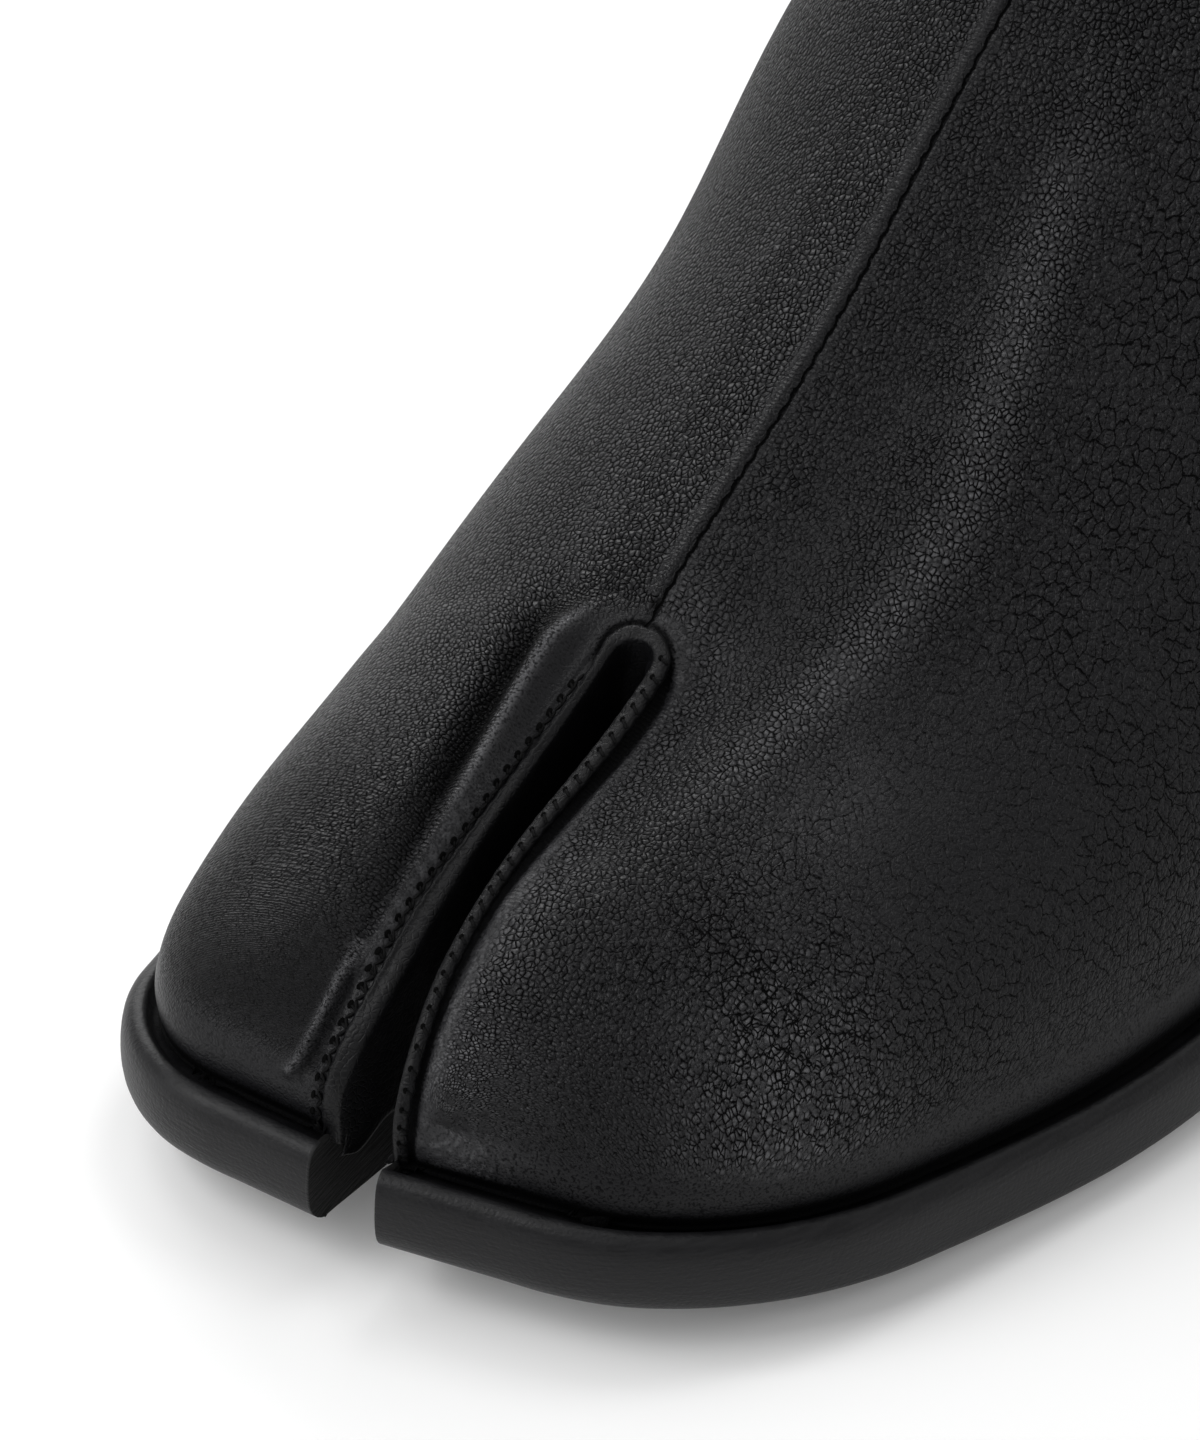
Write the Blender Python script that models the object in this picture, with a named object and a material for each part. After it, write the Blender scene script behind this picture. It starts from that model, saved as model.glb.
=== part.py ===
# Left tabi slip-on shoe: a hollow leather upper with a split toe, an outsole with the same split,
# a heel block and an insole. All sizes are in millimetres until place() turns them into metres.
#   across  x from the toe split, the medial (big toe) side negative, the lateral side positive
#   along   distance back from the tip of the toe
#   up      z from the floor

import math

import bmesh
import bpy
import numpy as np

MM = 0.001

# Outsole and heel
SOLE_LENGTH = 276.0
FOREFOOT_SOLE = 9.5
WAIST_SOLE = 6.5
TOE_SPRING = 7.0
SPRING_END = 60.0
ARCH_START, ARCH_END = 104.0, 204.0
HEEL_HEIGHT = 18.0
HEEL_BREAST = 204.0
HEEL_SET = 1.2
HEEL_TAPER = 1.4
HEEL_EDGE = 1.2

# Rounded ends of the outsole in plan
TOE_CORNER = {"medial": {"across": 14.5, "along": 15.5}, "lateral": {"across": 17.0, "along": 22.0}}
MEDIAL_SWEEP, LATERAL_SWEEP = 0.05, 0.19
SWEEP_FROM = 3.0
SWEEP_FULL, SWEEP_GONE = 16.0, 62.0
HEEL_START = 236.0
HEEL_CENTRE = 7.6
HEEL_ROUND = 2.25

# Upper
WALL = 2.0
LEDGE_FOREFOOT, LEDGE_WAIST = 3.2, 2.2
TOE_REACH = 30.0
TOE_ROUND = 2.2
SPLIT_ROOT = 52.5
SPLIT_HALF = 2.3
SPLIT_BOW = 0.9
SPLIT_FLARE, FLARE_END = 1.1, 15.0
ROLL_DEPTH = 0.18
ROLL_MEDIAL_MORE = 0.03
ROLL_WIDTH = 7.0
ROLL_FULL, ROLL_GONE = 18.0, 68.0
THROAT = 127.0
BACK_LEAN = {"belly": 1.6, "top": -4.0}

# Fits
GAP = 0.3
SOLE_SLOT_HALF = 3.5
SOLE_SLOT_ROOT = 44.0
INSOLE_THICK = 3.0
INSOLE_CLEAR = 1.4
INSOLE_SLOT_CLEAR = 1.0

# Plan of the outsole's edge and form of the last, a row for each section along the shoe.
# ridge is where the toe split and the front seam lie, rise the last's height over the outsole.
# The powers shape each half of the arch, 2 an ellipse and more squarer, and bulge swells its sides.
SECTION_COLUMNS = ("along", "medial", "lateral", "ridge", "rise", "medial_power", "lateral_power", "bulge")
SECTIONS = (
    (0.0, -30.6, 36.8, 0.0, 21.0, 2.5, 2.5, 0.06),
    (30.0, -34.3, 47.8, 0.0, 27.6, 2.5, 2.4, 0.06),
    (52.0, -35.7, 53.8, 0.0, 32.4, 2.3, 2.2, 0.06),
    (78.0, -36.0, 58.6, 0.5, 43.0, 2.1, 2.0, 0.06),
    (100.0, -34.0, 60.2, 0.9, 55.0, 2.1, 1.9, 0.08),
    (126.0, -31.0, 57.8, 2.0, 70.0, 2.6, 1.9, 0.22),
    (150.0, -26.2, 52.0, 4.4, 82.0, 2.6, 2.2, 0.16),
    (180.0, -22.2, 45.6, 6.6, 92.0, 2.7, 2.5, 0.10),
    (212.0, -22.8, 42.4, 7.6, 97.0, 2.7, 2.6, 0.06),
    (245.0, -25.6, 41.0, 7.6, 99.0, 2.7, 2.7, 0.05),
    (276.0, -26.4, 41.6, 7.6, 100.0, 2.7, 2.7, 0.05),
)

# Height of the collar over the floor behind the throat, as far as the back seam
COLLAR_COLUMNS = ("along", "height")
COLLAR = ((150.0, 74.5), (178.0, 69.0), (206.0, 70.0), (240.0, 76.5), (276.0, 83.0))

# Outsole edge from its top to its bottom: share of the thickness, and how far the edge draws in
SOLE_EDGE = ((0.0, 1.5), (0.08, 0.7), (0.25, 0.15), (0.5, 0.0), (0.75, 0.25), (0.92, 1.1), (1.0, 2.4))
INSOLE_EDGE = ((0.0, 0.5), (0.3, 0.0), (1.0, 0.0))
HEEL_SIDE = ((0.0, HEEL_SET), (0.93, HEEL_SET + HEEL_TAPER), (1.0, HEEL_SET + HEEL_TAPER + HEEL_EDGE))

# Finish of each piece: name, colour and roughness
FINISHES = (
    ("upper", (0.012, 0.012, 0.013), 0.45),
    ("outsole", (0.014, 0.014, 0.015), 0.50),
    ("heel", (0.014, 0.014, 0.015), 0.50),
    ("insole", (0.030, 0.027, 0.025), 0.60),
)

# Mesh density, and how the rows lean and crowd together
TOE_ROWS, VAMP_ROWS, QUARTER_ROWS, HEEL_ROWS = 16, 11, 15, 10
COLUMNS_UP = 14
GUSSET_LEVELS = 5
PLATE_TOE_ROWS, PLATE_BODY_ROWS, PLATE_HEEL_ROWS = 12, 28, 9
BREAST_ROWS = 6
PLATE_COLUMNS = 3

ROOT_SLANT, THROAT_SLANT = 9.0, 6.0
TOE_CROWD, COLLAR_CROWD, END_CROWD = 1.6, 1.7, 0.75
STEP_FADE, STEP_CLEAR = 4.0, 0.3
WELD = 0.002
ON_SOLE = 0.05
FLAT_CUTOFF = 0.12
SHARP_ANGLE = 40.0

MEDIAL, LATERAL = -1, 1
SIDE_NAMES = {MEDIAL: "medial", LATERAL: "lateral"}


def smooth_curve(knots, values):
    """A function of one number: the natural cubic spline through the values at the knots."""
    x, y = np.array(knots), np.array(values)
    step = np.diff(x)
    system, right = np.eye(len(x)), np.zeros(len(x))
    for i in range(1, len(x) - 1):
        system[i, i - 1 : i + 2] = step[i - 1], 2 * (step[i - 1] + step[i]), step[i]
        right[i] = 6 * ((y[i + 1] - y[i]) / step[i] - (y[i] - y[i - 1]) / step[i - 1])
    bend = np.linalg.solve(system, right)

    def at(s):
        i = int(np.clip(np.searchsorted(x, s) - 1, 0, len(x) - 2))
        done, left, h = s - x[i], x[i + 1] - s, step[i]
        curve = (bend[i] * left**3 + bend[i + 1] * done**3) / (6 * h)
        start, end = y[i] / h - bend[i] * h / 6, y[i + 1] / h - bend[i + 1] * h / 6
        return float(curve + start * left + end * done)

    return at


def curves_of(columns, rows):
    """One smooth curve along the shoe for each column of a table, by the column's name."""
    table = np.array(rows)
    return {name: smooth_curve(table[:, 0], table[:, i]) for i, name in enumerate(columns) if i}


LAST = curves_of(SECTION_COLUMNS, SECTIONS)


def ease(value, start, end):
    """0 before start, 1 after end, and a smooth step between them."""
    t = min(max((value - start) / (end - start), 0.0), 1.0)
    return t * t * (3 - 2 * t)


def crowded(t):
    """Share of a run after the share t of its rows, with the rows closer together at both ends."""
    return t - END_CROWD * math.sin(2 * math.pi * t) / (2 * math.pi)


# The outsole's two surfaces and the plan that every piece shares


def sole_under(along):
    spring = TOE_SPRING * max(1 - along / SPRING_END, 0.0) ** 2
    return spring + HEEL_HEIGHT * ease(along, ARCH_START, ARCH_END)


def sole_over(along):
    thick = FOREFOOT_SOLE + (WAIST_SOLE - FOREFOOT_SOLE) * ease(along, ARCH_START, ARCH_END)
    return sole_under(along) + thick


def ledge(along):
    """Width of the outsole that shows outside the upper."""
    return LEDGE_FOREFOOT + (LEDGE_WAIST - LEDGE_FOREFOOT) * ease(along, ARCH_START, ARCH_END)


def sweep(x, along):
    """How far the oblique front of the toes sets a point back."""
    slope = MEDIAL_SWEEP if x < 0 else LATERAL_SWEEP
    return slope * max(abs(x) - SWEEP_FROM, 0.0) * (1 - ease(along, SWEEP_FULL, SWEEP_GONE))


def corner_inset(set_back, corner, margin):
    """How far a rounded toe corner draws the side in, that far behind the front."""
    across, reach = corner["across"] - margin, corner["along"] - margin
    if set_back >= reach:
        return 0.0
    return across * (1 - math.sqrt(1 - (1 - max(set_back, 0.0) / reach) ** 2))


def heel_close(along, margin):
    """Share of the half width that is left where the plan rounds off at the heel."""
    share = (along - HEEL_START) / (SOLE_LENGTH - margin - HEEL_START)
    return (1 - min(max(share, 0.0), 1.0) ** HEEL_ROUND) ** (1 / HEEL_ROUND)


def close_at_heel(x, along, margin):
    return HEEL_CENTRE + (x - HEEL_CENTRE) * heel_close(along, margin)


def open_edge(side, along, margin):
    """x of one side's outline, before the heel rounds it off."""
    name = SIDE_NAMES[side]
    inset = corner_inset(along - margin, TOE_CORNER[name], margin)
    return LAST[name](along) - side * (margin + inset)


def slot_half(along, half, root):
    """Half the width of a split that ends in a round at its root."""
    start = root - half
    if along <= start:
        return half
    return math.sqrt(max(half**2 - (along - start) ** 2, 0.0))


def place(x, along, z):
    return ((x - MIDDLE) * MM, (along - SOLE_LENGTH / 2) * MM, z * MM)


def plan_middle():
    """x halfway between the outsole's widest points, where the part's origin lies."""
    steps = np.arange(0.0, SOLE_LENGTH + 1.0, 1.0)
    low = min(close_at_heel(open_edge(MEDIAL, s, 0.0), s, 0.0) for s in steps)
    high = max(close_at_heel(open_edge(LATERAL, s, 0.0), s, 0.0) for s in steps)
    return (low + high) / 2


MIDDLE = plan_middle()


# Upper: one leather wall over the last


def split_line(along):
    """x of the middle of the toe split, which bows to the medial side, and of the seam behind it."""
    share = min(along / SPLIT_ROOT, 1.0)
    return LAST["ridge"](along) - SPLIT_BOW * math.sin(math.pi * share) ** 2


def split_half(along):
    return slot_half(along, SPLIT_HALF, SPLIT_ROOT) + SPLIT_FLARE * (1 - ease(along, 0.0, FLARE_END))


def split_roll(side, along):
    """How far the split's edges roll down below the arch, as a share of its height."""
    lean = ROLL_MEDIAL_MORE * (1 - ease(along, ROLL_FULL, SPLIT_ROOT))
    return (ROLL_DEPTH - side * lean) * (1 - ease(along, ROLL_FULL, ROLL_GONE))


def toe_rise(along):
    """Share of the last's height that the rounded toe has reached."""
    done = min((along - ledge(along)) / TOE_REACH, 1.0)
    return (1 - (1 - max(done, 0.0)) ** TOE_ROUND) ** (1 / TOE_ROUND)


def arch_height(along):
    return LAST["rise"](along) * toe_rise(along)


def skin(side, along, turn):
    """Point of the upper's outer face: turn runs from 0 at the outsole to a right angle on the ridge."""
    margin = ledge(along)
    top = split_line(along) + side * split_half(along)
    foot = open_edge(side, along, margin)
    power = LAST[SIDE_NAMES[side] + "_power"](along)
    reach = max(math.cos(turn), 0.0) ** (2 / power) * (1 + LAST["bulge"](along) * math.sin(2 * turn) ** 2)
    x = top + (foot - top) * reach
    roll = split_roll(side, along) * math.exp(-abs(x - top) / ROLL_WIDTH)
    height = arch_height(along) * math.sin(turn) * (1 - roll)
    x = close_at_heel(x, along, margin)
    back = along + sweep(x, along) + back_lean(height, along)
    return x, back, sole_over(back) + GAP + height


def collar_curve():
    """Height of the collar along the shoe, from the height of the last at the throat."""
    throat = (THROAT, sole_over(THROAT) + GAP + arch_height(THROAT))
    return curves_of(COLLAR_COLUMNS, (throat,) + COLLAR)["height"]


COLLAR_HEIGHT = collar_curve()


def back_lean(height, along):
    """Back curve of the heel: it bellies out low down, then leans forward to the collar."""
    up = height / (COLLAR[-1][1] - HEEL_HEIGHT - WAIST_SOLE)
    lean = BACK_LEAN["belly"] * math.sin(math.pi * min(up, 1.0)) + BACK_LEAN["top"] * up**3
    return lean * ease(along, HEEL_START, SOLE_LENGTH)


def collar_turn(along):
    """Turn at which a section meets the collar."""
    height = COLLAR_HEIGHT(along) - sole_over(along) - GAP
    return math.asin(min(height / arch_height(along), 1.0))


def upper_rows():
    """Sections of the upper from the toe to the back seam, each with its foot, its top and its last turn."""
    front, back = LEDGE_FOREFOOT, SOLE_LENGTH - LEDGE_WAIST
    right_angle = math.pi / 2
    rows = []
    last_foot, throat_foot = SPLIT_ROOT + ROOT_SLANT, THROAT + THROAT_SLANT
    for t in np.linspace(0, 1, TOE_ROWS):
        foot = front + (last_foot - front) * t**TOE_CROWD
        rows.append((foot, front + (SPLIT_ROOT - front) * crowded(t), right_angle))
    for t in np.linspace(0, 1, VAMP_ROWS)[1:]:
        foot = last_foot + (throat_foot - last_foot) * t
        rows.append((foot, SPLIT_ROOT + (THROAT - SPLIT_ROOT) * t, right_angle))
    for t in np.linspace(0, 1, QUARTER_ROWS)[1:]:
        foot = throat_foot + (HEEL_START - throat_foot) * t
        top = THROAT + (HEEL_START - THROAT) * t**COLLAR_CROWD
        rows.append((foot, top, collar_turn(top)))
    for t in np.linspace(0, 1, HEEL_ROWS)[1:]:
        along = HEEL_START + (back - HEEL_START) * math.sin(t * right_angle)
        rows.append((along, along, collar_turn(along)))
    return rows


def upper_half(side):
    """Grid of points of one half of the upper: a row for each section, from its foot to its top."""
    grid = []
    for foot, top, last_turn in upper_rows():
        shares = np.linspace(0, 1, COLUMNS_UP + 1)
        grid.append([skin(side, foot + (top - foot) * ease(t, 0, 1), last_turn * t) for t in shares])
    return grid


def split_wall(half):
    """Grid of one wall of the toe split, straight down from the rim of a half to the outsole."""
    grid = []
    for row in half[:TOE_ROWS]:
        x, along, rim = row[-1]
        foot = sole_over(along) + GAP
        grid.append([(x, along, rim + (foot - rim) * t) for t in np.linspace(0, 1, GUSSET_LEVELS + 1)])
    return grid


def sheet_of(grids):
    """One welded sheet from grids of points, with its faces turned outwards."""
    sheet = bmesh.new()
    for grid in grids:
        lines = [[sheet.verts.new(place(*point)) for point in row] for row in grid]
        for this, following in zip(lines, lines[1:]):
            for k in range(len(this) - 1):
                sheet.faces.new((this[k], this[k + 1], following[k + 1], following[k]))
    bmesh.ops.remove_doubles(sheet, verts=sheet.verts, dist=WELD * MM)
    bmesh.ops.recalc_face_normals(sheet, faces=sheet.faces)
    crown = max(sheet.faces, key=lambda face: face.normal.z * face.normal.z * face.calc_area())
    if crown.normal.z < 0:
        bmesh.ops.reverse_faces(sheet, faces=sheet.faces)
    return sheet


def face_outwards(solid):
    bmesh.ops.recalc_face_normals(solid, faces=solid.faces)
    if solid.calc_volume(signed=True) < 0:
        bmesh.ops.reverse_faces(solid, faces=solid.faces)


def wall_offset(vert, on_floor):
    """Move that takes a point of the sheet to the wall's inner face, square to every face round it."""
    normals = np.array([face.normal for face in vert.link_faces])
    if on_floor:
        normals[:, 2] = 0.0
        normals /= np.linalg.norm(normals, axis=1)[:, None]
    return np.linalg.lstsq(normals, np.full(len(normals), -WALL * MM), rcond=FLAT_CUTOFF)[0]


def thicken(sheet):
    """Closes a sheet into a solid wall, level along its foot so that it sits on the outsole."""
    sheet.normal_update()
    outer, rim_edges = list(sheet.verts), [edge for edge in sheet.edges if edge.is_boundary]
    feet = {vert for edge in rim_edges for vert in edge.verts if stands_on_sole(vert)}
    inner = {v: sheet.verts.new(np.array(v.co) + wall_offset(v, v in feet)) for v in outer}
    for face in list(sheet.faces):
        sheet.faces.new([inner[v] for v in reversed(face.verts)])
    for edge in rim_edges:
        a, b = edge.verts
        sheet.faces.new((a, b, inner[b], inner[a]))
    face_outwards(sheet)


def stands_on_sole(vert):
    along = vert.co.y / MM + SOLE_LENGTH / 2
    return abs(vert.co.z / MM - sole_over(along) - GAP) < ON_SOLE


# Plates: the outsole, the insole and the heel, each a plan with a top, a bottom and a shaped edge


def plate_rows(front, back, root):
    """Distances along the shoe of a plate's sections: closer at a rounded toe, a split's root and the heel."""
    rows = []
    body_start = front
    if root:
        for t in np.linspace(0, 1, PLATE_TOE_ROWS):
            rows.append(front + (root - front) * crowded(t))
        body_start = rows.pop()
    rows += list(np.linspace(body_start, HEEL_START, PLATE_BODY_ROWS if root else BREAST_ROWS)[:-1])
    turns = np.linspace(0, math.pi / 2, PLATE_HEEL_ROWS)
    return rows + [HEEL_START + (back - HEEL_START) * math.sin(turn) for turn in turns]


def set_in(along, rows, step):
    """How far a row's inner points move along, to stay inside a plate's stepped-in ends."""
    if along in (rows[0], rows[-1]):
        return 0.0
    ahead = max(0.0, 1 - (along - rows[0]) / (STEP_FADE * step))
    behind = max(0.0, 1 - (rows[-1] - along) / (STEP_FADE * step))
    return step * (ahead - behind)


def plate_plan(rows, margin, line, half, root, step):
    """Two grids of plan points, medial and lateral, each from the outline in to the split or its line."""
    grids = {}
    for side in (MEDIAL, LATERAL):
        grids[side] = []
        for along in rows:
            inside = margin(along)
            middle = line(along) + side * (slot_half(along, half, root) if root else 0.0)
            edge = open_edge(side, along, inside)
            points = []
            for t in np.linspace(0, 1, PLATE_COLUMNS + 1):
                x = close_at_heel(edge + (middle - edge) * t, along, inside)
                moved = set_in(along, rows, step) if t else 0.0
                points.append((x, along + sweep(x, along) + moved))
            grids[side].append(points)
    return grids


def plan_loop(grids, splits):
    """Outline of a plan, once round, with each point's outward direction: none on the walls of a split."""
    medial, lateral = grids[MEDIAL], grids[LATERAL]
    loop = [(row[0], True) for row in reversed(medial)] + [(p, True) for p in medial[0][1:]]
    loop += [(row[-1], False) for row in medial[1 : splits + 1]]
    loop += [(row[-1], False) for row in reversed(lateral[1:splits])]
    loop += [(p, True) for p in reversed(lateral[0] if splits else lateral[0][:-1])]
    loop += [(row[0], True) for row in lateral[1:-1]]
    points = np.array([point for point, _ in loop])
    shaped = [is_shaped for _, is_shaped in loop]
    outward = []
    for i, is_shaped in enumerate(shaped):
        before, after = (i - 1) % len(loop), (i + 1) % len(loop)
        first = points[before] if shaped[before] else points[i]
        second = points[after] if shaped[after] else points[i]
        run = second - first
        normal = np.array((run[1], -run[0])) / max(np.linalg.norm(run), 1e-9)
        outward.append(normal if is_shaped else np.zeros(2))
    return points, np.array(outward)


def plate(name, rows, margin, over, under, edge, line=LAST["ridge"], half=0.0, root=0.0):
    """A plate between two surfaces, with its outline stepped in by the edge's table."""
    step = max(draw_in for _, draw_in in edge) + STEP_CLEAR
    grids = plate_plan(rows, margin, line, half, root, step)
    splits = PLATE_TOE_ROWS - 1 if root else 0
    points, outward = plan_loop(grids, splits)
    solid = bmesh.new()
    rings = []
    for share, draw_in in edge:
        ring = []
        for (x, along), normal in zip(points, outward):
            x, along = np.array((x, along)) - normal * draw_in
            ring.append(solid.verts.new(place(x, along, over(along) + (under(along) - over(along)) * share)))
        rings.append(ring)
    for above, below in zip(rings, rings[1:]):
        for i in range(len(above)):
            j = (i + 1) % len(above)
            solid.faces.new((above[i], above[j], below[j], below[i]))
    for surface, ring in ((over, rings[0]), (under, rings[-1])):
        cap_plan(solid, grids, points, ring, surface)
    bmesh.ops.remove_doubles(solid, verts=solid.verts, dist=WELD * MM)
    face_outwards(solid)
    return finish_object(name, solid)


def cap_plan(solid, grids, points, ring, surface):
    """Fills one face of a plate with its plan's grid, on the ring that bounds it."""
    on_ring = {tuple(np.round(point, 6)): vert for point, vert in zip(points, ring)}
    made = {}

    def vert_at(point):
        key = tuple(np.round(point, 6))
        if key not in on_ring and key not in made:
            made[key] = solid.verts.new(place(*point, surface(point[1])))
        return on_ring.get(key) or made[key]

    for grid in grids.values():
        for this, following in zip(grid, grid[1:]):
            for k in range(PLATE_COLUMNS):
                corners = [vert_at(p) for p in (this[k], this[k + 1], following[k + 1], following[k])]
                corners = list(dict.fromkeys(corners))
                if len(corners) > 2:
                    solid.faces.new(corners)


# Objects and materials


def material(name, colour, roughness):
    made = bpy.data.materials.new(name)
    made.use_nodes = True
    shader = made.node_tree.nodes["Principled BSDF"]
    shader.inputs["Base Color"].default_value = (*colour, 1.0)
    shader.inputs["Roughness"].default_value = roughness
    shader.inputs["Metallic"].default_value = 0.0
    return made


def finish_object(name, solid):
    mesh = bpy.data.meshes.new(name)
    solid.to_mesh(mesh)
    solid.free()
    mesh.shade_smooth()
    mesh.set_sharp_from_angle(angle=math.radians(SHARP_ANGLE))
    made = bpy.data.objects.new(name, mesh)
    bpy.context.scene.collection.objects.link(made)
    return made


def make_upper():
    halves = [upper_half(side) for side in (MEDIAL, LATERAL)]
    sheet = sheet_of(halves + [split_wall(half) for half in halves])
    thicken(sheet)
    return finish_object("upper", sheet)


def make_outsole():
    rows = plate_rows(0.0, SOLE_LENGTH, SOLE_SLOT_ROOT)
    slot = {"half": SOLE_SLOT_HALF, "root": SOLE_SLOT_ROOT}
    return plate("outsole", rows, lambda along: 0.0, sole_over, sole_under, SOLE_EDGE, **slot)


def make_insole():
    def inside(along):
        return ledge(along) + WALL + INSOLE_CLEAR

    clear = WALL + INSOLE_SLOT_CLEAR
    rows = plate_rows(inside(0.0), SOLE_LENGTH - inside(SOLE_LENGTH), SPLIT_ROOT + clear)

    def under(along):
        return sole_over(along) + GAP

    def over(along):
        return under(along) + INSOLE_THICK

    slot = {"line": split_line, "half": SPLIT_HALF + SPLIT_FLARE + clear, "root": SPLIT_ROOT + clear}
    return plate("insole", rows, inside, over, under, INSOLE_EDGE, **slot)


def make_heel():
    rows = plate_rows(HEEL_BREAST, SOLE_LENGTH, 0.0)

    def over(along):
        return sole_under(along) - GAP

    return plate("heel", rows, lambda along: 0.0, over, lambda along: 0.0, HEEL_SIDE)


def main():
    for old in list(bpy.data.objects):
        bpy.data.objects.remove(old)
    makers = {"upper": make_upper, "outsole": make_outsole, "heel": make_heel, "insole": make_insole}
    for name, colour, roughness in FINISHES:
        makers[name]().data.materials.append(material(name, colour, roughness))


main()
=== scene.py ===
import math
import bpy
import numpy as np
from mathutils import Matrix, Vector
from mathutils.bvhtree import BVHTree


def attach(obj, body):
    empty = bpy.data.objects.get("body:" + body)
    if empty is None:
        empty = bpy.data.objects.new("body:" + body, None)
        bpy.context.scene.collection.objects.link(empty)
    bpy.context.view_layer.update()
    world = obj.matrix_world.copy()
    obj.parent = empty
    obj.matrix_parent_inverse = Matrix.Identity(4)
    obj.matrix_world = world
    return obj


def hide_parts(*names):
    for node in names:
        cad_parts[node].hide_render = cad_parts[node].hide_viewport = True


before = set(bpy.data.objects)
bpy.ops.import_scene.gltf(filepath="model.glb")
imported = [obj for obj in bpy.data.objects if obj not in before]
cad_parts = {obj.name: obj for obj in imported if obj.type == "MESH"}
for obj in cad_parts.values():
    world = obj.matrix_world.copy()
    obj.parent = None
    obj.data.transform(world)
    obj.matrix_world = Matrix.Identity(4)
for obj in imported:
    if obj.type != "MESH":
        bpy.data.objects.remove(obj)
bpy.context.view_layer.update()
print("frame loaded:", sorted(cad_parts))

# The shoe's own rule, in millimetres: across from the toe split, along from the toe tip, up from the floor
shoe = {
    "splitFromMiddle": 12.0,
    "toeFromMiddle": 138.0,
    "length": 276.0,
    "heelMiddle": 7.6,          # across, where the back seam runs
    "throat": 127.0,            # along, front of the collar
    "above": 200.0,             # places clear of the shoe, from which its surfaces are read
    "below": -50.0,
    "ahead": -30.0,
}


def toRule(points):
    rule = np.array(points, float).reshape(-1, 3) * 1000
    return rule + (shoe["splitFromMiddle"], shoe["toeFromMiddle"], 0)


def toFrame(rule):
    rule = np.array(rule, float).reshape(-1, 3)
    return (rule - (shoe["splitFromMiddle"], shoe["toeFromMiddle"], 0)) / 1000


def fade(where, start, end):
    # soft step from 0 at start to 1 at end
    t = np.clip((np.asarray(where, float) - start) / (end - start), 0, 1)
    return t * t * (3 - 2 * t)


def bell(distance, width):
    return np.exp(-0.5 * (distance / width) ** 2)


def span(where, start, end):
    # 1 between a soft start and a soft end
    return fade(where, *start) * (1 - fade(where, *end))


def unit(vectors):
    return vectors / np.linalg.norm(vectors, axis=-1, keepdims=True)


def lengths(points):
    # the way along a line of points, up to each of them
    return np.concatenate([[0], np.cumsum(np.linalg.norm(np.diff(points, axis=0), axis=1))])


def flow(points, where):
    # smooth line through a few given (place, value) points, level beyond its ends
    place = np.array([p[0] for p in points], float)
    value = np.array([p[1] for p in points], float)
    slope = np.gradient(value, place)
    slope[0] = slope[-1] = 0
    where = np.clip(where, place[0], place[-1])
    i = np.clip(np.searchsorted(place, where) - 1, 0, len(place) - 2)
    step = place[i + 1] - place[i]
    t = (where - place[i]) / step
    rise = t * t * (3 - 2 * t)
    start = step * slope[i] * t * (1 - t) ** 2
    end = step * slope[i + 1] * t * t * (1 - t)
    return value[i] + (value[i + 1] - value[i]) * rise + start - end


# Shared steps of the modelling
def pick(piece):
    if bpy.context.object and bpy.context.object.mode != "OBJECT":
        bpy.ops.object.mode_set(mode="OBJECT")
    bpy.ops.object.select_all(action="DESELECT")
    piece.select_set(True)
    bpy.context.view_layer.objects.active = piece


def editFaces(piece, chosen=None):
    # opens edit mode with the chosen faces selected, or with all of them
    pick(piece)
    bpy.ops.object.mode_set(mode="EDIT")
    bpy.ops.mesh.select_mode(type="FACE")
    bpy.ops.mesh.select_all(action="SELECT" if chosen is None else "DESELECT")
    if chosen is not None:
        bpy.ops.object.mode_set(mode="OBJECT")
        piece.data.polygons.foreach_set("select", np.asarray(chosen, bool))
        bpy.ops.object.mode_set(mode="EDIT")


def editEdges(piece):
    # opens edit mode with no edge selected
    pick(piece)
    bpy.ops.object.mode_set(mode="EDIT")
    bpy.ops.mesh.select_mode(type="EDGE")
    bpy.ops.mesh.select_all(action="DESELECT")


def closeEdit():
    bpy.ops.object.mode_set(mode="OBJECT")


def faceOut(piece):
    editFaces(piece)
    bpy.ops.mesh.normals_make_consistent(inside=False)
    closeEdit()


def applyModifier(piece, kind, **settings):
    pick(piece)
    modifier = piece.modifiers.new(kind.title(), kind)
    for key, value in settings.items():
        setattr(modifier, key, value)
    bpy.ops.object.modifier_apply(modifier=modifier.name)


def smoothOut(piece, levels):
    applyModifier(piece, "SUBSURF", levels=levels, render_levels=levels)


def roundEdges(piece, width, angle):
    applyModifier(piece, "BEVEL", width=width / 1000, segments=2, limit_method="ANGLE",
                  angle_limit=math.radians(angle))


same = 0.00001      # corners closer than this are one, in metres


def copyNode(node, name, paired=True):
    # a merged copy of a frame node, with its triangles paired into quads again
    piece = bpy.data.objects.new(name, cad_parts[node].data.copy())
    bpy.context.scene.collection.objects.link(piece)
    piece.data.materials.clear()
    editFaces(piece)
    bpy.ops.mesh.customdata_custom_splitnormals_clear()
    bpy.ops.mesh.remove_doubles(threshold=same)
    if paired:
        bpy.ops.mesh.tris_convert_to_quads(face_threshold=math.radians(50), shape_threshold=math.radians(70))
    closeEdit()
    bpy.ops.object.shade_smooth()
    return piece


def holdEdges(piece, angle):
    # creases the edges that turn more than this, so that they stay crisp when the mesh is smoothed
    editEdges(piece)
    bpy.ops.mesh.edges_select_sharp(sharpness=math.radians(angle))
    bpy.ops.transform.edge_crease(value=1.0)
    closeEdit()


def readOff(items, kind):
    values = np.zeros(len(items) * 3)
    items.foreach_get(kind, values)
    return values.reshape(-1, 3)


def corners(piece):
    return readOff(piece.data.vertices, "co")


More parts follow.
